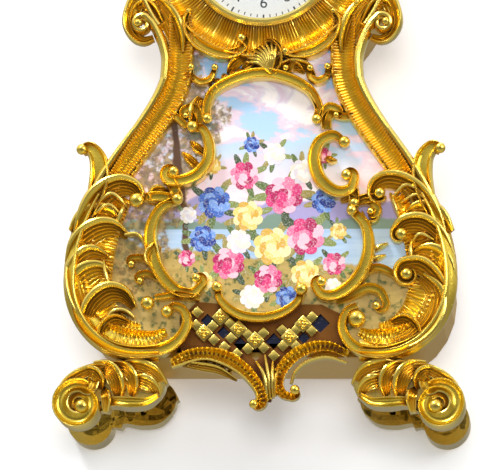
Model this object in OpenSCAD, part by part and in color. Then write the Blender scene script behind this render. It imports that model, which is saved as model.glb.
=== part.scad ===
// Miniature boudoir clock: a gilt openwork front over an enamel plaque, four scroll feet,
// a small enamel dial and an eight-day watch-type movement that is wound from the back.
// Millimetres. +Z is up, the front faces -Y, and the origin is on the ground under the middle.

/* [Case] */
// Half width of the front at its bulge
bulge_half = 39.5; // [37:0.5:42]
// Height of the widest point of the bulge
bulge_z = 30; // [28.5:0.5:31.5]
// Half width of the front at the waist
waist_half = 20; // [19:0.25:21.5]
// Height of the narrowest point of the waist
waist_z = 74; // [72.5:0.5:75.5]
// Width of the round corners at the bottom
corner_w = 15.5; // [14.5:0.5:16.5]
// Height of the case bottom above the ground
bottom_z = 14.5; // [14:0.25:15.5]
// Clear depth behind the movement, for the winding key
back_room = 9; // [8.8:0.2:12]
// Thickness of the case band
band_wall = 1; // [0.8:0.1:1.2]
// How far the band stands back from the edge of the front
band_setback = 1.2; // [0.9:0.1:1.5]
// Thickness of the back plate
back_t = 1.2; // [1:0.1:1.5]

/* [Front] */
// Thickness of the openwork plate
front_t = 1.8; // [1.5:0.1:2.1]
// Height of the scrolls above the plate
relief = 1.4; // [1:0.1:1.6]
// Height of the bright beads above the scrolls
bead_h = 0.7; // [0.4:0.1:0.9]
// Width of the border that runs round the body
border_w = 5; // [4.5:0.1:5.3]
// Width of the bead on the outer edge
edge_bead_w = 1.3; // [1:0.1:1.6]
// Width of the surround of the dial, outside the bezel
surround_w = 11; // [10.6:0.1:11.4]
// Half diagonal of the lattice openings in the apron
lattice_half = 1.3; // [1:0.1:1.5]

/* [Plaque and dial] */
// Thickness of the enamel plaque
plaque_t = 1.2; // [1:0.1:1.5]
// How far the plaque stays inside the edge of the front
plaque_inset = 4; // [3.8:0.1:4.2]
// Height of the middle of the dial
dial_z = 97; // [96.4:0.2:98]
// Thickness of the enamel dial
dial_t = 1; // [0.8:0.1:1.2]
// Radius of the dial that shows inside the bezel
sight_r = 13.9; // [13.6:0.1:14.2]
// How far the dial reaches behind the bezel
dial_lap = 1; // [0.8:0.1:1.2]
// Width of the bezel
bezel_w = 1.6; // [1.4:0.1:1.8]
// Thickness of the dial glass
glass_t = 0.8; // [0.6:0.1:1]
// Length of the minute hand
minute_len = 12; // [11:0.25:12.5]
// Length of the hour hand
hour_len = 8.5; // [7.5:0.25:9]
// Minute that the hands show
shown_minute = 10; // [0:1:59]
// Hour that the hands show
shown_hour = 10; // [1:1:12]

/* [Movement] */
// Radius of the movement plates
plate_r = 20; // [19.7:0.1:20.2]
// Thickness of the movement plates
plate_t = 1.4; // [1.2:0.1:1.6]
// Clear height between the movement plates
plate_gap = 10.2; // [10.1:0.1:10.8]
// Radius of the centre arbor that carries the minute hand
arbor_r = 0.5; // [0.4:0.05:0.55]
// Radius of the pivots of the train
pivot_r = 0.2; // [0.15:0.05:0.25]
// Radius of the mainspring barrel's drum
barrel_r = 7.2; // [6.8:0.1:7.3]
// Radius of the balance
balance_r = 4.6; // [4.2:0.1:4.7]
// Turns of the mainspring
spring_turns = 7; // [5:1:9]
// Radius of the knob that sets the hands
set_knob_r = 2.8; // [2.4:0.1:3]

/* [Feet] */
// Radius of the big volute of a foot
volute_r = 5; // [4.7:0.1:5.3]
// How far the middle of that volute stands inside the bulge
volute_inset = 3.3; // [2.9:0.1:3.7]
// Depth of a foot
foot_depth = 8; // [7.5:0.25:9]
// How far the feet reach past the case, front and back
foot_proud = 4; // [3.8:0.1:4.6]
// Radius of the screws that hold the feet
foot_screw_r = 0.7; // [0.6:0.05:0.8]

/* [Back door] */
// How far the door covers the back plate round its hole
door_lap = 1; // [0.8:0.1:1.2]
// Thickness of the door
door_t = 1; // [0.8:0.1:1.1]
// Radius of the hinge pin
hinge_pin_r = 0.4; // [0.3:0.05:0.45]

/* [Fits] */
// Play of a shaft in its bore, on the radius
running_gap = 0.05; // [0.03:0.01:0.06]
// Play of a piece that is seated in another, on the radius
seat_gap = 0.03; // [0.02:0.01:0.05]

/* [Hidden] */
$fn = 48;
dial_stand = 1.8;
works_gap = 3.2;
case_depth = dial_stand + dial_t + works_gap + 2 * plate_t + plate_gap + back_room;
front_y = -case_depth / 2;
back_y = case_depth / 2;
plate_front_y = front_y - front_t;
relief_y = plate_front_y - relief;
bead_y = relief_y - bead_h;
sunk_y = front_y - front_t / 2;
band_bottom = bottom_z - band_setback;
neck_top = dial_z - 8;
left = -1;
right = 1;
dial_r = sight_r + dial_lap;
bezel_r = sight_r + bezel_w;
surround_r = bezel_r + surround_w;
flat_half = bulge_half - corner_w;
volute_x = bulge_half - volute_inset;

// Places along the depth of the movement, from the dial to the back
dial_front_y = front_y + dial_stand;
dial_back_y = dial_front_y + dial_t;
plate_a_y = dial_back_y + works_gap;
inner_a_y = plate_a_y + plate_t;
inner_b_y = inner_a_y + plate_gap;
plate_b_y = inner_b_y + plate_t;
glass_y = front_y - 1.6;
hand_t = 0.3;
hour_hand_y = dial_front_y - 0.8;
minute_hand_y = hour_hand_y - 0.9;
hand_cap_y = minute_hand_y - 0.4;

// Wheels: teeth and module of each meshing pair
barrel_teeth = 60;
centre_pinion_teeth = 10;
barrel_mod = 0.26;
centre_teeth = 64;
third_pinion_teeth = 8;
centre_mod = 0.2;
third_teeth = 60;
fourth_pinion_teeth = 8;
third_mod = 0.18;
fourth_teeth = 60;
escape_pinion_teeth = 6;
fourth_mod = 0.16;
escape_teeth = 15;
escape_r = 3;
cannon_teeth = 12;
minute_teeth = 36;
cannon_mod = 0.25;
minute_pinion_teeth = 10;
hour_teeth = 40;
hour_mod = 0.24;
ratchet_teeth = 24;
ratchet_r = 4.4;

function polar(p, r, a) = p + r * [cos(a), sin(a)];
function mesh_distance(a, b, m) = (a + b) * m / 2;

// Places of the arbors, seen from the front, measured from the middle of the dial
barrel_a = 200;
third_a = 60;
fourth_a = -10;
escape_a = -75;
pallet_a = -90;
minute_a = 240;
click_a = 250;
barrel_p = polar([0, 0], mesh_distance(barrel_teeth, centre_pinion_teeth, barrel_mod), barrel_a);
third_p = polar([0, 0], mesh_distance(centre_teeth, third_pinion_teeth, centre_mod), third_a);
fourth_p = polar(third_p, mesh_distance(third_teeth, fourth_pinion_teeth, third_mod), fourth_a);
escape_p = polar(fourth_p, mesh_distance(fourth_teeth, escape_pinion_teeth, fourth_mod), escape_a);
pallet_p = polar(escape_p, escape_r * 1.46, pallet_a);
lever_len = 4.9;
lever_a = 241;
staff_p = polar(pallet_p, lever_len, lever_a);
minute_p = polar([0, 0], mesh_distance(cannon_teeth, minute_teeth, cannon_mod), minute_a);
click_p = polar(barrel_p, ratchet_r + 2, click_a);
cock_foot_p = polar(staff_p, balance_r + 2, -10);

// Levels of the wheels along the depth
barrel_y = [inner_a_y + 1.4, inner_a_y + 7.9];
barrel_rim_y = barrel_y[1] - 0.8;
centre_y = [inner_b_y - 1.3, inner_b_y - 0.7];
third_y = [inner_a_y + 5.6, inner_a_y + 6.2];
fourth_y = [inner_a_y + 7.6, inner_a_y + 8.1];
escape_y = [inner_b_y - 1, inner_b_y - 0.6];
bridge_y = [inner_b_y - 3, inner_b_y - 2.2];
roller_y = [inner_b_y - 1.7, inner_b_y - 1.3];
balance_y = [plate_b_y + 0.9, plate_b_y + 1.6];
cock_y = [plate_b_y + 2.8, plate_b_y + 3.8];
ratchet_y = [plate_b_y + 0.2, plate_b_y + 1];
key_y = [plate_b_y + 3.6, plate_b_y + 7.6];
set_knob_y = [plate_b_y + 6, plate_b_y + 8.4];
pinion_over = 0.4;
train_arbor_r = 0.35;
pipe_r = 0.9;
cannon_tube_r = 0.8;
hour_pipe_r = 1.25;
barrel_arbor_r = 1;
barrel_core_r = 1.6;
square_half = 0.6;
staff_r = 0.3;

// Fixings. The upper pillars stand round the bezel and the movement, the lower ones along the band
pillar_r = 1.3;
pillar_bore_r = 0.6;
pillar_gap = 0.3;
stud_depth = 1.2;
ring_lap = 0.4;
pillar_ring = max(bezel_r, plate_r + ring_lap) + pillar_gap + pillar_r;
head_r = pillar_ring + pillar_r + 0.5 + band_wall;
pillar_inset = band_setback + band_wall + pillar_r + 0.2;
low_pillar = 9;
mid_pillar = 13;
case_pillars_p = [inside_at(bulge_z - low_pillar, pillar_inset),
    inside_at(bulge_z + mid_pillar, pillar_inset),
    polar([0, dial_z], pillar_ring, -45), polar([0, dial_z], pillar_ring, 60)];
plate_pillar_r = 1.4;
plate_pillars_a = [45, 135, 228, 285];
plate_pillar_ring = plate_r - 2.4;
dog_screws_a = [0, 75, 180];
dial_feet_p = [polar([0, 0], dial_r - 3.6, 150), polar([0, 0], dial_r - 3.6, 330)];
dial_foot_r = 0.5;
screw_head_h = 0.7;
screw_bore = 4;
slot_w = 0.4;
slot_depth = 0.3;
crest_screw_x = 4;
crest_base_y = [front_y, front_y + 5];
crest_base_half = 7;
crest_screw_p = [crest_screw_x, (crest_base_y[0] + crest_base_y[1]) / 2];
door_r = pillar_ring - pillar_r - pillar_gap;
door_hole_r = door_r - door_lap;
hinge_r = 0.9;
hinge_gap = 0.05;
hinge_x = door_r + hinge_r + 0.4;
hinge_y = back_y + back_t + hinge_r + hinge_gap;
hinge_half = 6;
knuckle_h = 4.2;
outer_knuckle_h = 3.6;
foot_y = [front_y - foot_proud, front_y - foot_proud + foot_depth];
foot_face = 0.8;
foot_wall = 1;
foot_screw_x = flat_half - 1.5;
foot_screw_y = foot_y[1] - 1.5;
foot_screw_len = 5;

// Flat shapes are drawn in X and Z, and slab() gives them their depth from y0 to y1
module slab(y0, y1)
    translate([0, y1, 0]) rotate([90, 0, 0]) linear_extrude(height = y1 - y0) children();
module rod(p, y0, y1, r)
    translate([p[0], y1, p[1]]) rotate([90, 0, 0]) cylinder(h = y1 - y0, r = r);
// Shapes of the movement are placed from the middle of the dial
module from_dial() translate([0, 0, dial_z]) children();
// A turned ring round the axis of the dial, from a profile of radius and depth
module turned(profile)
    from_dial() rotate([90, 0, 0]) rotate_extrude($fn = 96)
        polygon([for (p = profile) [p[0], -p[1]]]);
module pair() {
    children();
    mirror([1, 0, 0]) children();
}

// Curves: a cubic, a smooth line through points, and a line moved sideways
function cubic(a, b, c, d, t) =
    pow(1 - t, 3) * a + 3 * pow(1 - t, 2) * t * b + 3 * (1 - t) * t * t * c + pow(t, 3) * d;
function through(a, b, c, d, t) =
    0.5 * ((2 * b) + (c - a) * t + (2 * a - 5 * b + 4 * c - d) * t * t
        + (3 * b - a - 3 * c + d) * t * t * t);
function smooth(p, n) = let (last = len(p) - 1) concat(
    [for (i = [0:last - 1], k = [0:n - 1])
        through(p[max(i - 1, 0)], p[i], p[i + 1], p[min(i + 2, last)], k / n)],
    [p[last]]);
function closed(p, n) = let (m = len(p))
    [for (i = [0:m - 1], k = [0:n - 1])
        through(p[(i + m - 1) % m], p[i], p[(i + 1) % m], p[(i + 2) % m], k / n)];
function sideways(p, d) = let (last = len(p) - 1)
    [for (i = [0:last]) let (t = p[min(i + 1, last)] - p[max(i - 1, 0)])
        p[i] + d * [-t[1], t[0]] / norm(t)];
function mirrored(p) = [for (q = p) [-q[0], q[1]]];
function backwards(p) = [for (i = [len(p) - 1:-1:0]) p[i]];

// A ribbon along a smooth line, wider in the middle than at its ends
module ribbon(points, w_end, w_mid, n = 4) {
    line = smooth(points, n);
    last = len(line) - 1;
    half = [for (i = [0:last]) (w_end + (w_mid - w_end) * sin(180 * i / last)) / 2];
    side = function(s) [for (i = [0:last]) let (t = line[min(i + 1, last)] - line[max(i - 1, 0)])
        line[i] + s * half[i] * [-t[1], t[0]] / norm(t)];
    polygon(concat(side(1), backwards(side(-1))));
}

// The place d inside the edge of the body, at about the height z
function inside_at(z, d) = let (line = sideways(body_side(), d), off = [for (p = line) abs(p[1] - z)])
    line[search(min(off), off)[0]];

// The outline of the body: a flat bottom, round corners, the bulge and the waist
function body_side() = concat(
    [[0, band_bottom]],
    [for (a = [-90:15:-15]) [flat_half + (bulge_half - flat_half) * cos(a),
        bulge_z + (bulge_z - band_bottom) * sin(a)]],
    [for (t = [0:1 / 12:0.99]) cubic([bulge_half, bulge_z], [bulge_half, bulge_z + 20],
        [waist_half, waist_z - 12], [waist_half, waist_z], t)],
    [[waist_half, waist_z], [waist_half, neck_top]]);
module body2d(d) {
    side = sideways(body_side(), d);
    polygon(concat(side, mirrored(backwards(side))));
}
module case2d(d) {
    body2d(band_setback + d);
    translate([0, dial_z]) circle(head_r - d, $fn = 96);
}

/* The scrolls of the openwork: the line of each, its width at the ends and in the middle,
   the side of its bright bead, and the radii of the knobs at its two ends */
window_scrolls = [
    [[[-9.8, 62.4], [-10.1, 65.5], [-7, 69.3], [0, 71.1], [7.3, 69.5], [10.7, 65.8], [11.2, 62.2]],
        1.6, 2.2, left, 1, 1],
    [[[-15.2, 60.8], [-12.6, 60.9], [-10.9, 58], [-10.9, 54.2], [-13, 50.8], [-16.2, 49.8],
        [-18.8, 51.4]], 1.8, 2.8, left, 1.1, 1.3],
    [[[-16.6, 46.2], [-20, 44.3], [-21.8, 40.5], [-21.7, 36.2], [-20, 31.6], [-17, 28.2],
        [-13.6, 27.2], [-11.4, 29]], 2, 2.8, left, 1.2, 1],
    [[[-8.4, 28.2], [-7.4, 25.5], [-4.4, 23.2], [0, 22.3], [4.4, 23.2], [7.5, 25.2], [8.4, 27.6]],
        2, 3, left, 1.1, 1.3],
    [[[18.4, 43.8], [21, 41], [21.7, 37], [20.8, 32.6], [18.4, 28.8], [15.2, 26.8], [12.6, 26.9],
        [11.2, 28.6]], 2, 2.8, right, 1.1, 1.2],
    [[[16.8, 57.7], [14.6, 59.2], [11.8, 57.8], [10.8, 54.2], [12, 50.3], [15, 47.8], [18, 48.2],
        [18.9, 50.6]], 1.8, 2.6, right, 1.1, 1.3]];
bridge_scrolls = [
    [[[-14.2, 73.3], [-13.9, 71.4], [-12, 70.3], [-10, 71.2], [-9.2, 73.4]],
        0.9, 1.5, left, 0.7, 0.7],
    [[[9.8, 72.9], [10, 71.2], [11.4, 70.5], [13, 71.4], [13.4, 73.3]], 0.9, 1.5, right, 0.7, 0.7],
    [[[-13.6, 61.6], [-13, 64], [-13.2, 66.4]], 2.2, 3, left, 0.9, 1.1],
    [[[13.2, 60.6], [13.2, 62.6], [14.6, 64]], 2.2, 3, right, 0.9, 1.2],
    [[[-15, 61.2], [-17.4, 63.2], [-18.6, 64.4]], 1.6, 1.6, left, 0, 0],
    [[[14.6, 63.6], [16.6, 63], [18.6, 63.2]], 1.6, 1.6, right, 0, 0],
    [[[-15.8, 71.6], [-14.6, 71.4], [-13.6, 71.4]], 1.1, 1.1, left, 0, 0],
    [[[13, 72], [14.4, 72.2], [16, 72.4]], 1.1, 1.1, right, 0, 0],
    [[[-18.8, 50.4], [-17.6, 48], [-16.6, 46.4]], 2.2, 2.6, right, 0, 0],
    [[[18.6, 48.2], [18.8, 46], [18.4, 44]], 2.2, 2.6, right, 0, 0],
    [[[-17, 46.4], [-20.4, 46.8], [-22.4, 46.6], [-24.4, 46.6]], 1.8, 2.6, left, 0, 0],
    [[[18.8, 45.4], [21, 46.2], [24, 46.4]], 1.8, 2.4, right, 0, 0],
    [[[21.4, 45.2], [23, 43.4]], 1.4, 1.4, left, 0, 1.5]];
side_scrolls = [
    [[[-35.4, 45.2], [-32.2, 49], [-28, 50.4], [-24.8, 49], [-24, 46.4]], 2.4, 3, left, 0, 1.6],
    [[[35.2, 45.6], [31.6, 49.6], [27.2, 50.8], [24.2, 49.8], [23.6, 47.4]], 2.4, 3, right, 0, 1.6],
    [[[-37, 35.6], [-33, 39.2], [-29, 40], [-25.4, 38.6], [-22.8, 36.8]], 2.4, 3.6, left, 0, 0],
    [[[37, 34.6], [34, 38.6], [30.6, 39.9], [28.4, 38.6]], 2.2, 3.2, right, 0, 1.3],
    [[[-37, 42], [-33, 44.6], [-29.6, 44.6]], 3, 5.6, left, 0, 0],
    [[[36.4, 42], [32.4, 44.6], [29.6, 43.6]], 3, 5.2, right, 0, 0],
    [[[-37, 31], [-33, 33.6], [-30.6, 33.4]], 2.6, 6.6, left, 0, 0],
    [[[37, 30.6], [34, 34], [31.4, 33.6]], 2.6, 5, right, 0, 0],
    [[[-34.6, 23], [-31, 27], [-28, 27.2], [-25.6, 24.8], [-24.8, 21.6]], 2.4, 3.6, left, 0, 0.9],
    [[[35.4, 25.4], [33.2, 29.4], [30.4, 31], [28, 30.2]], 2.2, 3, right, 0, 1.6],
    [[[-20.6, 32.2], [-23.4, 34.4], [-26, 34]], 1.5, 1.9, left, 0, 0.9],
    [[[-19.2, 29.2], [-21.6, 31], [-24, 30.2]], 1.5, 1.9, left, 0, 0.9],
    [[[21.6, 38.2], [24.2, 38.8]], 1.2, 1.2, left, 0, 0.9],
    [[[20.4, 31], [23.4, 32.4], [26.2, 31.6], [27.6, 30.2]], 1.5, 1.9, right, 0, 0],
    [[[-12, 25.6], [-17, 26.2], [-20.6, 26.4], [-22.4, 25.2]], 1.8, 2, right, 0, 1.3],
    [[[14, 24.8], [18.6, 26.8], [22.4, 27.6], [24.4, 25.6], [24, 23.6]], 1.7, 2.2, right, 0, 0.9]];
corner_scrolls = [
    [[[-36.4, 26], [-33.4, 19.4], [-28, 15.6], [-22, 15], [-16.8, 16.6], [-15.2, 20], [-16.6, 22.4],
        [-18.8, 21.8]], 1.8, 3, left, 0, 1.2],
    [[[36.4, 26], [33.4, 19.4], [28, 15.6], [22.6, 15.4], [18.4, 17.2], [16.6, 20.2], [17.4, 23]],
        1.6, 3, right, 0, 0],
    [[[17.4, 22.6], [19.4, 22]], 1.4, 1.4, left, 0, 1.9],
    [[[-31.6, 20.8], [-27, 19.4], [-22, 18.8], [-18, 19.6]], 2, 4.6, left, 0, 0],
    [[[32.4, 22], [27.6, 19.6], [23, 18.8], [20.2, 19.4]], 2, 4.6, right, 0, 0]];
apron_scrolls = [
    [[[-17.6, 14.2], [-13.6, 15.9], [-9.4, 16], [-5.4, 14.4], [-2, 11.8], [-0.2, 8.6], [0, 5.4]],
        1.3, 2.4, left, 0, 0.8],
    [[[18, 14.6], [14.2, 15.9], [10, 15.4], [6.6, 13.4], [4.7, 10.6], [4.9, 8.2], [6.6, 7.6]],
        1.3, 2.2, right, 0, 0.9]];
dial_scrolls = [
    [[[-14.3, 84], [-15, 81.6], [-12.9, 78.2], [-8.6, 76], [-4.8, 76.4], [-3.6, 78]],
        1.2, 1.8, left, 0.7, 0.8],
    [[[14, 83.6], [15, 81.8], [13.2, 78.3], [9, 76.1], [5, 76.2]], 1.2, 1.8, right, 0.7, 0.6]];
all_scrolls = concat(window_scrolls, bridge_scrolls, side_scrolls, corner_scrolls, apron_scrolls,
    dial_scrolls);
top_volute = [24.9, 81.9];
top_volute_r = 3.4;
volute_line = [[17.6, 68], [17.7, 75], [19.2, 80.4], [22.2, 83.6], [25, 83.9]];
fan = [[-4.2, 77], [-1, 79.2], [3, 77.8], [5.6, 76], [4.6, 72.6], [0, 71.4], [-3.6, 72.4],
    [-4.4, 74.6]];
pendant = [[-5.6, 14.2], [-1.4, 9.8], [0.6, 4], [2.6, 6.6], [4.4, 6.6], [6.6, 14.2]];
apron = [[-16, 14], [-16, 22], [-12.6, 26], [-8.4, 25.6], [-5, 22.6], [0, 21.4], [5, 22.6],
    [8.6, 25.4], [12.4, 25.4], [16.6, 23], [17, 14]];
// Middles of the openings of the apron's diagonal lattice
lattice = [[-10.4, 21.8], [-7.2, 19.4], [-3.8, 17.1], [-0.6, 15.2], [2.8, 17.7], [8.9, 18.5],
    [12.2, 21.3]];

module scroll2d(s) {
    ribbon(s[0], s[1], s[2]);
    if (s[4] > 0) translate(s[0][0]) circle(s[4], $fn = 24);
    if (s[5] > 0) translate(s[0][len(s[0]) - 1]) circle(s[5], $fn = 24);
}
// The bright bead of a scroll runs along one side of it, inside its width
module bead2d(s) {
    w = s[2] * 0.34;
    ribbon(sideways(s[0], s[3] * (s[1] - w) / 2), w, w);
}
module volutes2d() pair() {
    ribbon(volute_line, 3.4, 5);
    translate(top_volute) circle(top_volute_r);
}
module front_plate2d() {
    difference() {
        union() {
            difference() {
                body2d(0);
                body2d(border_w);
            }
            polygon(apron);
            polygon(pendant);
            volutes2d();
            for (s = all_scrolls) scroll2d(s);
            polygon(closed(fan, 3));
            translate([0, dial_z]) circle(surround_r, $fn = 96);
        }
        translate([0, dial_z]) circle(bezel_r + seat_gap, $fn = 96);
        for (p = lattice) translate(p) rotate(45) square(lattice_half * sqrt(2), center = true);
    }
}
module front_relief2d() {
    for (s = all_scrolls) scroll2d(s);
    volutes2d();
    polygon(closed(fan, 3));
}
// The bead of the outer edge runs from the lower corner up to the waist
module edge_bead2d() {
    line = sideways([for (p = body_side()) if (p[0] > flat_half && p[1] < waist_z - 4) p],
        edge_bead_w / 2);
    pair() ribbon(line, edge_bead_w, edge_bead_w, 2);
}
module front_frame() color("goldenrod") difference() {
    union() {
        slab(plate_front_y, front_y) front_plate2d();
        slab(relief_y, sunk_y) front_relief2d();
        slab(bead_y, sunk_y) {
            for (s = all_scrolls) bead2d(s);
            edge_bead2d();
            pair() translate(top_volute) difference() {
                circle(top_volute_r);
                circle(top_volute_r - 0.8);
            }
            pair() translate(top_volute) circle(0.9);
        }
        turned([[bezel_r + seat_gap, sunk_y], [bezel_r + seat_gap, relief_y - 0.3],
            [bezel_r + 1.2, relief_y + 0.3], [bezel_r + 2.6, relief_y + 0.9],
            [surround_r - 1.8, relief_y + 0.7], [surround_r - 0.6, relief_y], [surround_r, relief_y],
            [surround_r, sunk_y]]);
    }
    pair() for (p = case_pillars_p) rod(p, front_y - stud_depth, front_y + 1, pillar_bore_r);
}

glass_lap = 0.6;
module dial_bezel() color("gold") {
    back = dial_front_y - seat_gap;
    groove = glass_y - glass_t;
    turned([[sight_r, back], [bezel_r, back], [bezel_r, relief_y],
        [bezel_r - bezel_w / 3, bead_y], [sight_r + bezel_w / 3, bead_y],
        [sight_r, relief_y], [sight_r, groove - seat_gap],
        [sight_r + glass_lap, groove - seat_gap], [sight_r + glass_lap, glass_y + seat_gap],
        [sight_r, glass_y + seat_gap]]);
}
module dial_glass() color("aliceblue", 0.3)
    from_dial() rod([0, 0], glass_y - glass_t, glass_y, sight_r + glass_lap - seat_gap);

// The plaque lies against the back of the front and is notched round the pillars
plaque_top = dial_z - bezel_r - 1.1;
plaque_bottom = bottom_z + band_wall + 0.5;
module enamel_plaque() color("lightblue") slab(front_y, front_y + plaque_t) difference() {
    body2d(plaque_inset);
    translate([-bulge_half, 0]) square([2 * bulge_half, plaque_bottom]);
    translate([-bulge_half, plaque_top]) square([2 * bulge_half, dial_z]);
    pair() for (p = case_pillars_p) translate(p) circle(pillar_r + pillar_gap);
    translate([0, dial_z]) circle(bezel_r + 0.8);
}
// Bent brass tabs that hold the plaque's edge
clip_places = [[bulge_half - plaque_inset, bulge_z], [waist_half - plaque_inset, plaque_top - 3.3]];
clip_w = 4;
clip_t = 0.5;
module plaque_clips() color("peru") pair() for (p = clip_places)
    translate([p[0] + 0.1, 0, p[1]]) {
        slab(front_y, front_y + plaque_t) translate([0, -clip_w / 2]) square([1.3, clip_w]);
        slab(front_y + plaque_t, front_y + plaque_t + clip_t)
            translate([-2.6, -clip_w / 2]) square([3.9, clip_w]);
    }

module case_band() color("palegoldenrod") difference() {
    slab(front_y, back_y) difference() {
        case2d(0);
        case2d(band_wall);
    }
    pair() for (y = [foot_screw_y, -foot_screw_y]) translate([foot_screw_x, y, bottom_z - 1])
        cylinder(h = band_wall + 2, r = foot_screw_r + seat_gap);
    pair() crest_screw_hole(pillar_bore_r + seat_gap);
}
// Long pillars tie the front to the back plate and clamp the band between them
module case_pillars() color("peru") pair() for (p = case_pillars_p) difference() {
    union() {
        rod(p, front_y, back_y, pillar_r);
        rod(p, front_y - stud_depth + 0.1, front_y + 1, pillar_bore_r - seat_gap);
    }
    rod(p, back_y - screw_bore, back_y + 1, pillar_bore_r);
}
module back_plate() color("goldenrod") {
    difference() {
        slab(back_y, back_y + back_t) difference() {
            case2d(0);
            translate([0, dial_z]) circle(door_hole_r, $fn = 96);
        }
        pair() for (p = case_pillars_p) rod(p, back_y - 1, back_y + back_t + 1, pillar_bore_r + seat_gap);
    }
    for (z = outer_knuckles_z)
        hinge_knuckle(z, outer_knuckle_h, -hinge_r, 1.6 * hinge_r, hinge_r, knuckle_sink);
}
outer_knuckles_z = [-knuckle_h, knuckle_h];
knuckle_sink = 0.1;
// A knuckle of the door's hinge, with its leaf from x0 on, w wide and t thick, which stands on
// the back plate's face or is sunk into it
module hinge_knuckle(z, h, x0, w, t, sink = 0)
    translate([hinge_x, hinge_y, dial_z + z - h / 2]) difference() {
    union() {
        cylinder(h = h, r = hinge_r);
        translate([x0, -hinge_r - hinge_gap - sink, 0]) cube([w, t + sink, h]);
    }
    translate([0, 0, -1]) cylinder(h = h + 2, r = hinge_pin_r + running_gap);
}
module back_screws() color("gold") pair() for (p = case_pillars_p) {
    rod(p, back_y + 0.6 - screw_bore, back_y + back_t, pillar_bore_r - seat_gap);
    difference() {
        rod(p, back_y + back_t, back_y + back_t + screw_head_h, pillar_r);
        translate([p[0] - pillar_r, back_y + back_t + screw_head_h - slot_depth, p[1] - slot_w / 2])
            cube([2 * pillar_r, 2 * slot_depth, slot_w]);
    }
}

// The crest: leaves and scrolls above the dial, on a base screwed to the top of the band.
// Its outline is measured from the top of the surround
crest_half = [[0, 18.5], [2.4, 16.1], [3.2, 13.1], [5.8, 14.5], [8.2, 12.3], [7, 9.1], [10.6, 9.3],
    [13.6, 6.3], [12.6, 2.9], [16.4, 2.7], [19.4, -0.7], [18, -3.9], [15.2, -5.7], [0, -7.3]];
module crest() color("goldenrod") {
    difference() {
        slab(relief_y, front_y) {
            line = smooth([for (p = crest_half) p + [0, dial_z + surround_r]], 3);
            polygon(concat(line, mirrored(backwards(line))));
        }
        slab(relief_y - 1, front_y + 1) translate([0, dial_z])
            circle(surround_r + seat_gap, $fn = 96);
    }
    slab(bead_y, relief_y) translate([0, dial_z + surround_r]) pair() {
        ribbon([[1.6, 3], [4.4, 5], [5.4, 8.6], [3.6, 10.8]], 0.9, 1.5);
        ribbon([[6, 2.6], [10, 4], [12, 1], [15, -0.4]], 0.9, 1.5);
        translate([2.4, 14]) circle(0.8);
    }
    difference() {
        slab(crest_base_y[0], crest_base_y[1]) intersection() {
            translate([-crest_base_half, dial_z]) square([2 * crest_base_half, 2 * surround_r]);
            difference() {
                translate([0, dial_z]) circle(surround_r + 1.5, $fn = 96);
                translate([0, dial_z]) circle(head_r, $fn = 96);
            }
        }
        pair() crest_screw_hole(pillar_bore_r);
    }
}
module crest_screw_hole(r)
    translate([crest_screw_p[0], crest_screw_p[1], dial_z + head_r - 3]) cylinder(h = 5.4, r = r);
module crest_screws() color("gold") pair() translate([crest_screw_p[0], crest_screw_p[1], dial_z]) {
    top = sqrt(pow(head_r - band_wall, 2) - pow(crest_screw_x + 1, 2));
    translate([0, 0, top - screw_head_h]) cylinder(h = screw_head_h, r = 1);
    translate([0, 0, top - 0.1]) cylinder(h = 3.4, r = pillar_bore_r - seat_gap);
}

// A foot: a big outer volute, a small inner one and the arched leg between, hollow at the back
function spiral(c, r0, r1, a0, turns, n) =
    [for (i = [0:n]) let (t = i / n) c + (r0 + (r1 - r0) * t) * [cos(a0 + 360 * turns * t),
        sin(a0 + 360 * turns * t)]];
volute_z = volute_r - 0.15;
leg_top = bottom_z + 2;
// Points of the leg and of its bead, measured across from the middle of the big volute
leg = [[volute_r - 0.4, 7], [2.4, 11], [-1.8, 13.6], [-7.2, leg_top], [-14.2, leg_top],
    [-17.8, 13.6], [-18.6, 9.6], [-16.8, 6], [-13.2, 4.2], [-8.2, 4.6], [-4.8, 7.6]];
leg_bead = [[-1, 10.6], [-3.2, 12], [-8.2, 12.4], [-12.6, 11.4], [-15.8, 8.4], [-14.4, 6.4]];
inner_volute = [-14.8, 8.2];
inner_volute_r = 3.7;
function by_volute(points) = [for (p = points) [volute_x + p[0], p[1]]];
module foot2d() {
    translate([volute_x, volute_z]) circle(volute_r);
    translate([volute_x, 0] + inner_volute) circle(inner_volute_r);
    polygon(closed(by_volute(leg), 3));
}
module foot() difference() {
    union() {
        slab(foot_y[0] + foot_face, foot_y[1]) foot2d();
        slab(foot_y[0], foot_y[0] + foot_face + 0.2) {
            ribbon(spiral([volute_x, volute_z], volute_r - 0.5, 1.4, 100, -1.3, 26), 0.8, 0.9, 1);
            translate([volute_x, volute_z]) circle(1.2);
            ribbon(by_volute(leg_bead), 0.9, 1.6);
        }
    }
    translate([0, foot_y[0] - 1, -volute_r]) cube([2 * volute_x, foot_depth + 2, volute_r]);
    slab(foot_y[0] - 1, front_y) body2d(-seat_gap);
    slab(front_y - 0.1, foot_y[1] + 1) case2d(-seat_gap);
    rod([volute_x, volute_z], foot_y[0] + foot_face + foot_wall, foot_y[1] + 1, volute_r - foot_wall);
    translate([foot_screw_x, foot_screw_y, bottom_z - foot_screw_len])
        cylinder(h = foot_screw_len + 1, r = foot_screw_r);
}
module foot_front_right() color("goldenrod") foot();
module foot_front_left() color("goldenrod") mirror([1, 0, 0]) foot();
module foot_rear_right() color("darkgoldenrod") mirror([0, 1, 0]) foot();
module foot_rear_left() color("darkgoldenrod") mirror([1, 0, 0]) mirror([0, 1, 0]) foot();
module foot_screws() color("gold") pair() for (y = [foot_screw_y, -foot_screw_y])
    translate([foot_screw_x, y, bottom_z - foot_screw_len + 0.6]) {
        cylinder(h = foot_screw_len - 0.6 + band_wall, r = foot_screw_r - seat_gap);
        translate([0, 0, foot_screw_len - 0.6 + band_wall]) cylinder(h = screw_head_h, r = 1.1);
    }

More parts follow.
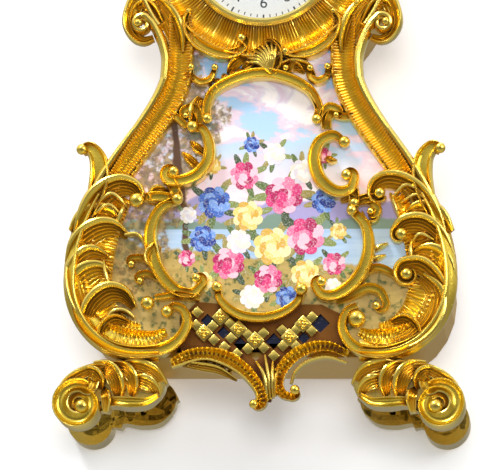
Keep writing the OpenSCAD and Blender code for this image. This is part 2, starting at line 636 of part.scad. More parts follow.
// The door lies on the back plate and turns on a pin at its side
door_y = back_y + back_t;
knob_p = [5 - door_r, 0];
knob_stem_r = 0.8;
module rear_door() color("goldenrod") {
    difference() {
        slab(door_y, door_y + door_t) translate([0, dial_z]) circle(door_r, $fn = 96);
        from_dial() rod(knob_p, door_y - 1, door_y + door_t + 1, knob_stem_r);
    }
    slab(door_y + door_t - 0.2, door_y + door_t + 0.4) translate([0, dial_z]) difference() {
        circle(door_r - 2.2, $fn = 96);
        circle(door_r - 3.2, $fn = 96);
    }
    hinge_knuckle(0, knuckle_h, door_r - 0.8 - hinge_x, hinge_x - door_r + 0.8, door_t);
}
module door_knob() color("gold") from_dial() {
    rod(knob_p, door_y + 0.2, door_y + door_t + 0.8, knob_stem_r - seat_gap);
    rod(knob_p, door_y + door_t, door_y + door_t + 0.8, 1.1);
    rod(knob_p, door_y + door_t + 0.8, door_y + door_t + 1.6, 1.5);
}
module door_hinge_pin() color("silver")
    translate([hinge_x, hinge_y, dial_z - hinge_half - 0.2]) {
        cylinder(h = 2 * hinge_half + 0.4, r = hinge_pin_r);
        for (z = [-0.5, 2 * hinge_half + 0.4]) translate([0, 0, z])
            cylinder(h = 0.5, r = hinge_pin_r * 1.6);
    }

// Dial and hands
module dial() color("white") from_dial() {
    difference() {
        rod([0, 0], dial_front_y, dial_back_y, dial_r);
        rod([0, 0], dial_front_y - 1, dial_back_y + 1, hour_pipe_r + 0.4);
    }
    for (p = dial_feet_p) rod(p, dial_back_y, inner_a_y + 0.4, dial_foot_r);
}
// A pierced hand: a ring, a scrolled body with two openings and a pointed tip
module hand2d(length, hole, turn) rotate(-turn) difference() {
    union() {
        circle(hole + 0.7);
        polygon(closed([[0.45, 0], [1.5, length * 0.24], [0.5, length * 0.42], [1.2, length * 0.56],
            [0.35, length * 0.74], [0, length], [-0.35, length * 0.74], [-1.2, length * 0.56],
            [-0.5, length * 0.42], [-1.5, length * 0.24], [-0.45, 0]], 3));
    }
    circle(hole);
    translate([0, length * 0.27]) circle(length * 0.055, $fn = 24);
    translate([0, length * 0.55]) circle(length * 0.04, $fn = 24);
}
minute_turn = shown_minute * 6;
hour_turn = shown_hour * 30 + shown_minute / 2;
module hour_hand() color("darkgoldenrod") from_dial()
    slab(hour_hand_y, hour_hand_y + hand_t) hand2d(hour_len, hour_pipe_r + seat_gap, hour_turn);
module minute_hand() color("darkgoldenrod") from_dial()
    slab(minute_hand_y, minute_hand_y + hand_t)
        hand2d(minute_len, cannon_tube_r + seat_gap, minute_turn);
module hand_cap() color("gold") from_dial() difference() {
    union() {
        rod([0, 0], hand_cap_y, minute_hand_y, 1);
        rod([0, 0], hand_cap_y - 0.3, hand_cap_y, 0.6);
    }
    rod([0, 0], hand_cap_y, minute_hand_y + 1, arbor_r + seat_gap);
}

// Teeth of a wheel or a pinion: narrow at the tip, with a free gap on both flanks
function gear(n, m, turn) = [for (k = [0:n - 1], q = [[-1.05, -0.25], [0.75, -0.1], [0.75, 0.1],
    [-1.05, 0.25]]) let (a = turn + (k + q[1]) * 360 / n) (n * m / 2 + m * q[0]) * [cos(a), sin(a)]];
// The turn that sets a gap of a wheel of n teeth towards the direction a
function gap_at(a, n) = a + 180 / n;
// A crossed-out wheel with round openings between hub and rim
module wheel2d(n, m, turn, holes) difference() {
    polygon(gear(n, m, turn));
    r = n * m / 2;
    for (k = [0:holes - 1]) translate(polar([0, 0], r * 0.56, turn + (k + 0.5) * 360 / holes))
        circle(r * 0.24, $fn = 24);
}
module pinion_at(p, y0, y1, n, m, turn) slab(y0, y1) translate(p) polygon(gear(n, m, turn));
// An arbor between the plates, with a thinner pivot at each end
module arbor_at(p, y0, y1, pivot0, pivot1) {
    rod(p, y0, y1, train_arbor_r);
    rod(p, y0 - pivot0, y1 + pivot1, pivot_r);
}
arbor_y = [inner_a_y + 0.1, inner_b_y - 0.1];
pivot_len = plate_t - 0.2;

module cannon_pinion() color("silver") from_dial() difference() {
    union() {
        rod([0, 0], minute_hand_y, plate_a_y - 0.2, cannon_tube_r);
        pinion_at([0, 0], plate_a_y - 1.2, plate_a_y - 0.2, cannon_teeth, cannon_mod, minute_a);
    }
    rod([0, 0], minute_hand_y - 1, plate_a_y + 1, arbor_r + seat_gap);
}
module centre_arbor() color("silver") from_dial() {
    rod([0, 0], hand_cap_y + 0.1, set_knob_y[1] - 0.2, arbor_r);
}
module set_knob() color("gold") from_dial() slab(set_knob_y[0], set_knob_y[1]) difference() {
    polygon(gear(28, set_knob_r / 14.75, 0));
    circle(arbor_r + seat_gap);
}
module minute_wheel() color("khaki") from_dial() difference() {
    union() {
        slab(plate_a_y - 1.1, plate_a_y - 0.3) translate(minute_p)
            wheel2d(minute_teeth, cannon_mod, gap_at(minute_a + 180, minute_teeth), 4);
        pinion_at(minute_p, plate_a_y - 2.2, plate_a_y - 1.1, minute_pinion_teeth, hour_mod,
            minute_a + 180);
    }
    rod(minute_p, plate_a_y - 3, plate_a_y, stud_r + running_gap);
}
stud_r = 0.4;
module hour_wheel() color("khaki") from_dial() difference() {
    union() {
        slab(plate_a_y - 2.2, plate_a_y - 1.4)
            wheel2d(hour_teeth, hour_mod, gap_at(minute_a, hour_teeth), 5);
        rod([0, 0], hour_hand_y, plate_a_y - 1.4, hour_pipe_r);
    }
    rod([0, 0], hour_hand_y - 1, plate_a_y, cannon_tube_r + running_gap);
}

// The movement: a ring held by the case pillars, two plates and the pillars between them
module movement_ring() color("darkkhaki") difference() {
    slab(plate_a_y, inner_a_y) translate([0, dial_z]) difference() {
        circle(head_r - band_wall - 0.15, $fn = 96);
        circle(plate_r + seat_gap, $fn = 96);
    }
    pair() for (p = case_pillars_p) rod(p, plate_a_y - 1, inner_a_y + 1, pillar_r + seat_gap);
    from_dial() for (a = dog_screws_a) rod(polar([0, 0], plate_r + 1.4, a), plate_a_y - 1,
        inner_a_y + 1, pillar_bore_r);
}
module dog_screws() color("silver") from_dial() for (a = dog_screws_a) {
    rod(polar([0, 0], plate_r + 1.4, a), plate_a_y + 0.1, inner_a_y, pillar_bore_r - seat_gap);
    rod(polar([0, 0], plate_r + 0.7, a), inner_a_y, inner_a_y + screw_head_h, 1.3);
}
train_places = [third_p, fourth_p, escape_p];
module plate_bores(y0, y1) {
    rod([0, 0], y0 - 1, y1 + 1, arbor_r + running_gap);
    rod(barrel_p, y0 - 1, y1 + 1, barrel_arbor_r + running_gap);
    for (p = train_places) rod(p, y0 - 1, y1 + 1, pivot_r + running_gap);
    for (a = plate_pillars_a) rod(polar([0, 0], plate_pillar_ring, a), y0 - 1, y1 + 1, pillar_bore_r);
}
module movement_front_plate() color("darkkhaki") from_dial() {
    difference() {
        rod([0, 0], plate_a_y, inner_a_y, plate_r);
        plate_bores(plate_a_y, inner_a_y);
        for (p = dial_feet_p) rod(p, plate_a_y - 1, inner_a_y + 1, dial_foot_r + seat_gap);
    }
    rod(minute_p, plate_a_y - 2.4, plate_a_y + 0.2, stud_r);
}
bridge_posts = [polar(pallet_p, 4.6, -25), polar(staff_p, 4.7, 220)];
banking_gap = 0.95;
module movement_rear_plate() color("darkkhaki") from_dial() {
    difference() {
        rod([0, 0], inner_b_y, plate_b_y, plate_r);
        plate_bores(inner_b_y, plate_b_y);
        rod(pallet_p, inner_b_y - 1, plate_b_y + 1, pivot_r + running_gap);
        rod(staff_p, inner_b_y - 1, plate_b_y + 1, staff_r + 0.9);
        rod(cock_foot_p, inner_b_y - 1, plate_b_y + 1, pillar_bore_r);
        rod(click_p, inner_b_y - 1, plate_b_y + 1, stud_r);
        for (p = bridge_posts) rod(p, inner_b_y - 1, plate_b_y + 1, stud_r + seat_gap);
    }
    for (s = [-1, 1]) rod(polar(polar(pallet_p, 2.2, lever_a), banking_gap, lever_a + s * 90),
        escape_y[0], inner_b_y + 0.2, 0.25);
}
module plate_pillars() color("khaki") from_dial() for (a = plate_pillars_a) {
    p = polar([0, 0], plate_pillar_ring, a);
    difference() {
        union() {
            rod(p, inner_a_y, inner_b_y, plate_pillar_r);
            rod(p, plate_a_y + 0.1, inner_a_y + 1, pillar_bore_r - seat_gap);
        }
        rod(p, inner_b_y - 3, inner_b_y + 1, pillar_bore_r);
    }
}
module plate_screws() color("silver") from_dial() for (a = plate_pillars_a) {
    p = polar([0, 0], plate_pillar_ring, a);
    rod(p, inner_b_y - 2.6, plate_b_y, pillar_bore_r - seat_gap);
    rod(p, plate_b_y, plate_b_y + screw_head_h, plate_pillar_r - 0.2);
}

// The barrel with its rim of teeth, and the spring wound round the arbor
barrel_wall = 0.5;
module mainspring_barrel() color("khaki") from_dial() difference() {
    union() {
        rod(barrel_p, barrel_y[0], barrel_y[1], barrel_r);
        pinion_at(barrel_p, barrel_rim_y, barrel_y[1], barrel_teeth, barrel_mod, barrel_a + 180);
    }
    rod(barrel_p, barrel_y[0] + barrel_wall, barrel_y[1] + 1, barrel_r - barrel_wall);
    rod(barrel_p, barrel_y[0] - 1, barrel_y[1] + 1, barrel_arbor_r + running_gap);
}
module barrel_cover() color("khaki") from_dial() difference() {
    rod(barrel_p, barrel_y[1] - barrel_wall, barrel_y[1], barrel_r - barrel_wall - seat_gap);
    rod(barrel_p, barrel_y[0], barrel_y[1] + 1, barrel_arbor_r + running_gap);
}
module mainspring() color("steelblue") from_dial()
    slab(barrel_y[0] + barrel_wall + 0.2, barrel_y[1] - barrel_wall - 0.2)
        ribbon(spiral(barrel_p, barrel_core_r + 0.3, barrel_r - barrel_wall - 0.2, 0, spring_turns,
            spring_turns * 20), 0.2, 0.2, 1);
module barrel_arbor() color("silver") from_dial() {
    rod(barrel_p, plate_a_y + 0.2, key_y[0], barrel_arbor_r);
    rod(barrel_p, barrel_y[0] + barrel_wall + 0.1, barrel_y[1] - barrel_wall - 0.1, barrel_core_r);
    slab(key_y[0], key_y[1] - 0.3) translate(barrel_p) square(2 * square_half, center = true);
}
// Saw teeth, which the click lets pass one way
function ratchet(n, r) = [for (k = [0:n - 1], q = [[0.86, 0.1], [1, 0.9]])
    let (a = (k + q[1]) * 360 / n) r * q[0] * [cos(a), sin(a)]];
module ratchet_wheel() color("silver") from_dial()
    slab(ratchet_y[0], ratchet_y[1]) translate(barrel_p) difference() {
        polygon(ratchet(ratchet_teeth, ratchet_r));
        circle(barrel_arbor_r + seat_gap);
    }
module winding_key() color("gold") from_dial() difference() {
    union() {
        rod(barrel_p, key_y[0], key_y[1] - 1, 1.5);
        slab(key_y[0] + 1.4, key_y[0] + 2.6) translate(barrel_p) rotate(60) {
            for (s = [-1, 1]) translate([s * 3.1, 0]) circle(2);
            square([6, 1.6], center = true);
        }
    }
    slab(key_y[0] - 1, key_y[1] + 1) translate(barrel_p)
        square(2 * (square_half + seat_gap), center = true);
    slab(key_y[0] - 1, key_y[1] + 1) translate(barrel_p) rotate(60) for (s = [-1, 1])
        translate([s * 3.4, 0]) circle(0.9);
}
click_tip_p = polar(barrel_p, ratchet_r + 0.45, click_a + 24);
module click() color("silver") from_dial() difference() {
    union() {
        rod(click_p, ratchet_y[0], ratchet_y[1] - 0.1, 1.1);
        slab(ratchet_y[0], ratchet_y[1] - 0.1) ribbon([click_p, click_tip_p], 0.6, 0.9);
    }
    rod(click_p, ratchet_y[0] - 1, ratchet_y[1] + 1, stud_r + running_gap);
}
module click_screw() color("silver") from_dial() {
    rod(click_p, inner_b_y + 0.2, ratchet_y[1], stud_r - seat_gap);
    rod(click_p, ratchet_y[1], ratchet_y[1] + 0.5, 0.9);
}
// The spring of the click stands clear of the pillar's screw and ends just under the click's arm
click_spring_p = click_p + [4.6, -4];
module click_spring() color("steelblue") from_dial() {
    rod(click_spring_p, plate_b_y, ratchet_y[1] - 0.2, 0.8);
    slab(plate_b_y, ratchet_y[1] - 0.2)
        ribbon([click_spring_p, click_p + [4.4, -2], click_p + [3, -0.8], click_p + [1.8, -0.3]],
            0.3, 0.3);
}

// The going train
module centre_wheel() color("khaki") from_dial() difference() {
    union() {
        slab(centre_y[0], centre_y[1]) wheel2d(centre_teeth, centre_mod, third_a, 5);
        pinion_at([0, 0], barrel_rim_y - pinion_over, centre_y[0], centre_pinion_teeth, barrel_mod,
            gap_at(barrel_a, centre_pinion_teeth));
        rod([0, 0], inner_a_y + 0.2, inner_b_y - 0.2, pipe_r);
    }
    rod([0, 0], inner_a_y - 1, inner_b_y + 1, arbor_r + running_gap);
}
module train_wheel(p, y, n, m, toward, pin_n, pin_m, pin_y, from) color("khaki") from_dial() {
    slab(y[0], y[1]) translate(p) wheel2d(n, m, toward, 5);
    pinion_at(p, pin_y[0] - pinion_over, pin_y[1] + pinion_over, pin_n, pin_m, gap_at(from, pin_n));
    arbor_at(p, arbor_y[0], arbor_y[1], pivot_len, pivot_len);
}
module third_wheel() train_wheel(third_p, third_y, third_teeth, third_mod, fourth_a,
    third_pinion_teeth, centre_mod, centre_y, third_a + 180);
module fourth_wheel() train_wheel(fourth_p, fourth_y, fourth_teeth, fourth_mod, escape_a,
    fourth_pinion_teeth, third_mod, third_y, fourth_a + 180);
module escape_wheel() color("khaki") from_dial() {
    slab(escape_y[0], escape_y[1]) translate(escape_p) difference() {
        polygon([for (k = [0:escape_teeth - 1], q = [[0.72, 0.1], [0.72, 0.3], [1, 0.72], [1, 0.86]])
            let (a = (k + q[1]) * 360 / escape_teeth) escape_r * q[0] * [cos(a), sin(a)]]);
        for (a = [0:90:270]) translate(polar([0, 0], escape_r * 0.42, a))
            circle(escape_r * 0.16, $fn = 24);
    }
    pinion_at(escape_p, fourth_y[0] - pinion_over, fourth_y[1] + pinion_over, escape_pinion_teeth,
        fourth_mod, gap_at(escape_a + 180, escape_pinion_teeth));
    rod(escape_p, arbor_y[0], arbor_y[1], pivot_r + 0.1);
    rod(escape_p, arbor_y[0] - pivot_len, arbor_y[1] + pivot_len, pivot_r);
}
// The lever with its two pallets and its fork, and the bridge that carries its front pivot
module pallet_lever() color("silver") from_dial() {
    slab(escape_y[0], escape_y[1]) difference() {
        union() {
            translate(pallet_p) circle(0.7);
            for (s = [-1, 1]) {
                tip = polar(escape_p, escape_r + 0.46, pallet_a + s * 40);
                ribbon([pallet_p, (pallet_p + tip) / 2 + [s * 0.5, -0.4], tip], 0.7, 0.8);
            }
            ribbon([pallet_p, polar(pallet_p, lever_len - 1, lever_a)], 0.7, 0.7);
            translate(polar(pallet_p, lever_len - 0.9, lever_a)) rotate(lever_a)
                square([0.9, 1.5], center = true);
        }
        translate(polar(pallet_p, lever_len - 0.3, lever_a)) rotate(lever_a)
            square([0.8, 0.7], center = true);
    }
    rod(pallet_p, bridge_y[1] + 0.05, inner_b_y - 0.05, staff_r);
    rod(pallet_p, bridge_y[0] + 0.1, inner_b_y + pivot_len, pivot_r);
}
module bar2d(a, b, w) {
    d = b - a;
    translate(a) rotate(atan2(d[1], d[0])) translate([0, -w / 2]) square([norm(d), w]);
}
module pallet_bridge() color("khaki") from_dial() {
    difference() {
        slab(bridge_y[0], bridge_y[1]) {
            bar2d(bridge_posts[0], pallet_p, 1.8);
            bar2d(pallet_p, staff_p, 1.8);
            bar2d(staff_p, bridge_posts[1], 1.8);
            for (p = concat(bridge_posts, [pallet_p, staff_p])) translate(p) circle(1);
        }
        for (p = [pallet_p, staff_p]) rod(p, bridge_y[0] - 1, bridge_y[1] + 1, pivot_r + running_gap);
    }
    for (p = bridge_posts) {
        rod(p, bridge_y[1], inner_b_y, 0.8);
        rod(p, inner_b_y, plate_b_y - 0.1, stud_r);
    }
}

// The balance: rim, arms, staff with roller, and the flat spring
module balance_wheel() color("khaki") from_dial() slab(balance_y[0], balance_y[1])
    translate(staff_p) {
    difference() {
        circle(balance_r);
        circle(balance_r - 0.6);
    }
    difference() {
        union() {
            circle(0.9);
            for (a = [30:120:270]) rotate(a) translate([0, -0.25]) square([balance_r - 0.3, 0.5]);
        }
        circle(staff_r + seat_gap);
    }
}
module balance_staff() color("silver") from_dial() {
    rod(staff_p, roller_y[0] - 0.3, cock_y[0] - 0.05, staff_r);
    rod(staff_p, bridge_y[0] + 0.1, cock_y[1] - 0.2, pivot_r);
    rod(staff_p, roller_y[0], roller_y[1], 1.05);
    rod(polar(staff_p, 0.75, lever_a + 180), roller_y[1] - 0.1, escape_y[0] - 0.1, 0.15);
}
spring_y = [balance_y[1] + 0.3, cock_y[0] - 0.25];
hairspring_r = balance_r - 1.9;
hairspring_w = 0.12;
hairspring_turns = 5;
hair_stud_r = 0.25;
module hairspring() color("steelblue") from_dial()
    slab(spring_y[0], spring_y[1]) ribbon(spiral(staff_p, staff_r + 0.3, hairspring_r, 0,
        hairspring_turns, hairspring_turns * 20), hairspring_w, hairspring_w, 1);
module balance_cock() color("khaki") from_dial() {
    difference() {
        union() {
            slab(cock_y[0], cock_y[1]) {
                bar2d(cock_foot_p, staff_p, 2.6);
                translate(staff_p) circle(1.7);
            }
            rod(cock_foot_p, plate_b_y, cock_y[1], 1.55);
            rod(staff_p, cock_y[1] - 0.1, cock_y[1] + 0.5, 0.9);
        }
        rod(staff_p, cock_y[0] - 1, cock_y[1] + 1, pivot_r + running_gap);
        rod(cock_foot_p, plate_b_y - 1, cock_y[1] + 1, pillar_bore_r + seat_gap);
    }
    rod(staff_p + [hairspring_r + hairspring_w / 2 + hair_stud_r + seat_gap, 0], spring_y[0],
        cock_y[0] + 0.1, hair_stud_r);
}
module cock_screw() color("silver") from_dial() {
    rod(cock_foot_p, inner_b_y + 0.2, cock_y[1], pillar_bore_r - seat_gap);
    rod(cock_foot_p, cock_y[1], cock_y[1] + screw_head_h, 1.2);
}
regulator_a = 110;
module regulator() color("silver") from_dial() difference() {
    union() {
        rod(staff_p, cock_y[1] + 0.05, cock_y[1] + 0.4, 1.6);
        slab(cock_y[1] + 0.05, cock_y[1] + 0.4)
            ribbon([polar(staff_p, 1, regulator_a), polar(staff_p, 5.4, regulator_a)], 0.8, 0.5);
    }
    rod(staff_p, cock_y[1] - 1, cock_y[1] + 2, 0.9 + running_gap);
}

front_frame();
dial_bezel();
dial_glass();
enamel_plaque();
plaque_clips();
case_band();
case_pillars();
back_plate();
back_screws();
crest();
crest_screws();
foot_front_left();
foot_front_right();
foot_rear_left();
foot_rear_right();
foot_screws();
rear_door();
door_knob();
door_hinge_pin();
dial();
hour_hand();
minute_hand();
hand_cap();
cannon_pinion();
centre_arbor();
set_knob();
hour_wheel();
minute_wheel();
movement_ring();
dog_screws();
movement_front_plate();
movement_rear_plate();
plate_pillars();
plate_screws();
mainspring_barrel();
barrel_cover();
mainspring();
barrel_arbor();
ratchet_wheel();
winding_key();
click();
click_screw();
click_spring();
centre_wheel();
third_wheel();
fourth_wheel();
escape_wheel();
pallet_lever();
pallet_bridge();
balance_wheel();
balance_staff();
hairspring();
balance_cock();
cock_screw();
regulator();
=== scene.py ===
"""The looks of a small gilt and enamel boudoir clock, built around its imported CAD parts.

Ornament is drawn in millimetres, in X and Z as seen from the front, and stands out towards -Y.
"""
import bmesh
import bpy
from math import atan2, cos, pi, radians, sin
from mathutils import Matrix, Vector


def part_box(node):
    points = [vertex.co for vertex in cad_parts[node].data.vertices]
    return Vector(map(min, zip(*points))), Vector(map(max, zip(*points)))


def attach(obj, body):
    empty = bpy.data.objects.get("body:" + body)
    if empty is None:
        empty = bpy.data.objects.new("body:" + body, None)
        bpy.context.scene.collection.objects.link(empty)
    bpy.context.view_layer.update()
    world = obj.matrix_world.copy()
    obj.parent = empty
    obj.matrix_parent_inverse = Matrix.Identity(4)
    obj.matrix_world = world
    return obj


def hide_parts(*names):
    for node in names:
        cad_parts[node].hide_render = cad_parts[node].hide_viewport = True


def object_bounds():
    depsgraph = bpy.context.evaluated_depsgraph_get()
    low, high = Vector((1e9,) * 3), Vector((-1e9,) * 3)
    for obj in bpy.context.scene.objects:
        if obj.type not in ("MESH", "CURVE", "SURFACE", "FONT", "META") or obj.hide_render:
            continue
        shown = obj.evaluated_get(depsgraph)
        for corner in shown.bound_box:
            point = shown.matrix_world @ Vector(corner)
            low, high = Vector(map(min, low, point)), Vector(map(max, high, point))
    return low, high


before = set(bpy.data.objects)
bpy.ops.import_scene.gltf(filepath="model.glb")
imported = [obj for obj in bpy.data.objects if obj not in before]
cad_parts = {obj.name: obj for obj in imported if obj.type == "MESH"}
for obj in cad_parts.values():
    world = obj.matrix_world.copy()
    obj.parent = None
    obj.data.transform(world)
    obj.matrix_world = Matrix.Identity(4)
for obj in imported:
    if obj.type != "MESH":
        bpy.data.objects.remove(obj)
cad_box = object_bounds()
MM = 0.001
UPRIGHT = Matrix.Rotation(radians(90), 4, "X")


def box_mm(node):
    return [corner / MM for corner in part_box(node)]


front_low, front_high = box_mm("front_frame")
foot_low, foot_high = box_mm("foot_front_right")
dial_low, dial_high = box_mm("dial")

# Levels along the depth, and sizes taken over from the frame
FACE_Y = box_mm("case_band")[0].y
PLAQUE_Y = box_mm("enamel_plaque")[0].y
DIAL_Y = dial_low.y
FOOT_BACK_Y = foot_high.y
FOOT_FRONT_Y = foot_low.y
FOOT_SKIRT = 5.2                        # the wall under the relief of a foot
DIAL_Z = (dial_low.z + dial_high.z) / 2
DIAL_MIDDLE = (0, DIAL_Z)
BEZEL_R = box_mm("dial_bezel")[1].x
HEAD_R = BEZEL_R + 11
BULGE, BULGE_Z = front_high.x, 30       # the widest place of the body
WAIST, WAIST_Z = 20, 74                 # the neck under the head
FLAT = 24                               # half of the body's straight bottom
BOTTOM = front_low.z + 9.3              # the body's lower edge, above the tip of the apron
BOW = 19                                # half of the apron, where the border leaves off

# Sides of a line as it runs; a mirrored line changes its sides, so they are multiplied by its turn
LEFT, RIGHT = 1, -1


# Lines

def spaced(line, step):
    """The same line, with its points at even distances."""
    run = [0]
    for a, b in zip(line, line[1:]):
        run.append(run[-1] + (b - a).length)
    count = max(2, round(run[-1] / step))
    even, k = [], 0
    for i in range(count + 1):
        at = run[-1] * i / count
        while k < len(line) - 2 and run[k + 1] < at:
            k += 1
        even.append(line[k].lerp(line[k + 1], (at - run[k]) / max(run[k + 1] - run[k], 1e-6)))
    return even


def smooth_line(points, step=0.4):
    """A smooth line through the points."""
    p = [Vector(q) for q in points]
    p = [2 * p[0] - p[1]] + p + [2 * p[-1] - p[-2]]
    fine = []
    for a, b, c, d in zip(p, p[1:], p[2:], p[3:]):
        for k in range(12):
            t = k / 12
            fine.append(0.5 * (2 * b + (c - a) * t + (2 * a - 5 * b + 4 * c - d) * t * t
                               + (3 * b - a - 3 * c + d) * t ** 3))
    return spaced(fine + [p[-2]], step)


def curled(line, radius, turns, step=0.35):
    """The line carried on into a spiral, counter-clockwise where turns is above 0."""
    run = line[-1] - line[-2]
    heading, way = atan2(run.y, run.x), 1 if turns > 0 else -1
    line, turned, full = list(line), 0, abs(turns) * 2 * pi
    tightest, sharpest = 0.3, 0.4
    while turned < full:
        r = radius * (1 - (1 - tightest) * turned / full)
        bend = min(step / r, sharpest)
        heading += bend * way
        line.append(line[-1] + Vector((cos(heading), sin(heading))) * r * bend)
        turned += bend
    return line


def polar(centre, r, degrees):
    return Vector(centre) + r * Vector((cos(radians(degrees)), sin(radians(degrees))))


def arc(centre, r, start, end, step=0.4):
    count = max(3, round(abs(radians(end - start)) * r / step))
    return [polar(centre, r, start + (end - start) * k / count) for k in range(count + 1)]


def spiral(centre, outer, inner, start, turns, ease):
    """Points of a spiral that closes in, clockwise where turns is below 0."""
    count = round(abs(turns) * 14)
    return [polar(centre, outer + (inner - outer) * (k / count) ** ease, start + 360 * turns * k / count)
            for k in range(count + 1)]


def inset(line, distance):
    """The line moved to its left."""
    moved = []
    for k, p in enumerate(line):
        run = line[min(k + 1, len(line) - 1)] - line[max(k - 1, 0)]
        moved.append(p + Vector((-run.y, run.x)).normalized() * distance)
    return moved


def body_side(distance=0, low=-1, high=80):
    """The right side of the body's outline, from the middle of its bottom up to the neck."""
    line = [Vector((x, BOTTOM)) for x in range(0, FLAT, 2)]
    line += [Vector((FLAT + (BULGE - FLAT) * cos(radians(a)),
                     BULGE_Z + (BULGE_Z - BOTTOM) * sin(radians(a)))) for a in range(-90, 0, 5)]
    a, b, c, d = (Vector(p) for p in ((BULGE, BULGE_Z), (BULGE, BULGE_Z + 21),
                                      (WAIST, WAIST_Z - 10.5), (WAIST, WAIST_Z)))
    for k in range(25):
        t = k / 24
        line.append((1 - t) ** 3 * a + 3 * (1 - t) ** 2 * t * b + 3 * (1 - t) * t * t * c + t ** 3 * d)
    line += [Vector((WAIST, z)) for z in range(WAIST_Z + 1, 90)]
    return [p for p in inset(line, distance) if low <= p.y <= high or (low < 0 and p.y < BOTTOM + 5)]


def across(line, turn):
    """The line as it is where turn is 1, or mirrored to the other half where it is -1."""
    return [Vector((turn * x, z)) for x, z in line]


# Sections of the castings: across from -1 to 1, and up from 0 to about 1

ROUND = [(-1, 0), (-0.98, 0.4), (-0.8, 0.74), (-0.45, 0.95), (0, 1), (0.45, 0.95), (0.8, 0.74),
         (0.98, 0.4), (1, 0)]
CHANNEL = [(-1, 0), (-1, 0.68), (-0.97, 0.84), (-0.9, 0.96), (-0.8, 1), (-0.7, 0.95), (-0.62, 0.82),
           (-0.57, 0.72), (-0.48, 0.67), (0, 0.64), (0.44, 0.66), (0.52, 0.71), (0.58, 0.8),
           (0.66, 0.89), (0.76, 0.92), (0.86, 0.87), (0.95, 0.7), (1, 0.46), (1, 0)]
EDGE = [(-1, 0), (-1, 0.3), (-0.96, 0.45), (-0.84, 0.6), (-0.62, 0.74), (-0.42, 0.83), (-0.32, 0.9),
        (-0.22, 0.98), (-0.12, 1), (-0.02, 0.96), (0.06, 0.84), (0.12, 0.66), (0.3, 0.48), (0.6, 0.36),
        (1, 0.3), (1, 0)]
COVE = [(-1, 0), (-1, 0.86), (-0.9, 0.96), (-0.78, 0.9), (-0.6, 0.66), (-0.3, 0.48), (0, 0.44),
        (0.3, 0.5), (0.6, 0.64), (0.85, 0.76), (1, 0.72), (1, 0)]
PLATE = [(-1, 0), (-1, 1), (1, 1), (1, 0)]
HOLLOW = [(-1, 0), (-1, 0.5), (-0.9, 0.82), (-0.74, 0.92), (-0.5, 0.72), (-0.15, 0.56), (0.2, 0.6),
          (0.5, 0.82), (0.7, 1), (0.88, 0.92), (1, 0.55), (1, 0)]


def fluted(count):
    """A smooth roll along the left, and flutes that fall away from it to the right."""
    depth, per, lean = 0.25, 5, 0.4
    points = [(-1, 0), (-1, 0.55), (-0.97, 0.78), (-0.87, 0.95), (-0.72, 1), (-0.57, 0.96), (-0.45, 0.82)]
    for k in range(count * per + 1):
        t = k / (count * per)
        flute = 1 - depth * (0.5 - 0.5 * cos(2 * pi * k / per))
        points.append((-0.4 + 1.38 * t, (0.8 - lean * t) * flute))
    return points + [(1, 0)]


def flipped(section):
    return [(-u, v) for u, v in reversed(section)]


# Castings: each collects swept shapes and balls, and becomes one piece

def grade(sizes, t):
    """Runs from the first size over the second, in the middle, to the third."""
    first, middle, last = sizes
    end = first if t < 0.5 else last
    return end + (middle - end) * sin(pi * t)


def add_part(casting, part):
    bmesh.ops.recalc_face_normals(part, faces=part.faces)
    mesh = bpy.data.meshes.new("part")
    part.to_mesh(mesh)
    part.free()
    casting.from_mesh(mesh)
    bpy.data.meshes.remove(mesh)


def sweep(casting, line, section, width, height, base=FACE_Y, skirt=0, ribs=0, rib_depth=0.25,
          side=LEFT, closed=False):
    """A section drawn along a line; skirt is a straight wall under it, ribs the length of a rib."""
    section = [(u, v if v == 0 else skirt / max(height) + v) for u, v in section]
    if side == LEFT:
        section = flipped(section)
    last, walked, stations = len(line) - 1, 0, []
    for k, p in enumerate(line):
        ahead = line[k + 1] if k < last else (line[1] if closed else p)
        behind = line[k - 1] if k else (line[-2] if closed else p)
        run = (ahead - behind).normalized()
        walked += (p - behind).length
        w, h = grade(width, k / last) / 2, grade(height, k / last)
        if ribs:
            h *= 1 - rib_depth * (0.5 + 0.5 * cos(2 * pi * walked / ribs))
        stations.append(Matrix(((-run.y * w, 0, run.x, p.x), (0, -h, 0, base),
                                (run.x * w, 0, run.y, p.y), (0, 0, 0, 1))))
    part = bmesh.new()
    ring = [part.verts.new(stations[0] @ Vector((u, v, 0))) for u, v in section]
    edges = [part.edges.new(pair) for pair in zip(ring, ring[1:] + ring[:1])]
    for before, after in zip(stations, stations[1:]):
        grown = bmesh.ops.extrude_edge_only(part, edges=edges)["geom"]
        ring = {g for g in grown if isinstance(g, bmesh.types.BMVert)}
        edges = [g for g in grown if isinstance(g, bmesh.types.BMEdge) and set(g.verts) <= ring]
        bmesh.ops.transform(part, matrix=after @ before.inverted(), verts=list(ring))
    if closed:
        bmesh.ops.remove_doubles(part, verts=part.verts, dist=0.01)
    else:
        bmesh.ops.holes_fill(part, edges=[e for e in part.edges if e.is_boundary])
    add_part(casting, part)


def ball(casting, p, r, rise=2.6, base=FACE_Y, squash=1):
    """A ball whose middle stands rise above base, but not beyond the front of the feet."""
    rise = min(rise, base - FOOT_FRONT_Y - r * squash)
    bmesh.ops.create_uvsphere(casting, u_segments=18, v_segments=12, radius=r, matrix=Matrix.Translation(
        (p[0], base - rise, p[1])) @ Matrix.Diagonal((1, squash, 1, 1)))


def scroll(casting, points, width, side=LEFT, knobs=(0, 0), curl=None, height=(2.2, 3, 2.2),
           section=CHANNEL, base=FACE_Y, skirt=0, ribs=0, step=0.35):
    """A scroll with a bead along one side, a curl at its end and a knob at either end."""
    line = smooth_line(points, step)
    if curl:
        line = curled(line, *curl, step)
    sweep(casting, line, section, width, height, base, skirt, ribs, side=side)
    for p, r in zip((line[0], line[-1]), knobs):
        if r:
            ball(casting, p, r, skirt + grade(height, 0.25) - 0.45 * r, base)


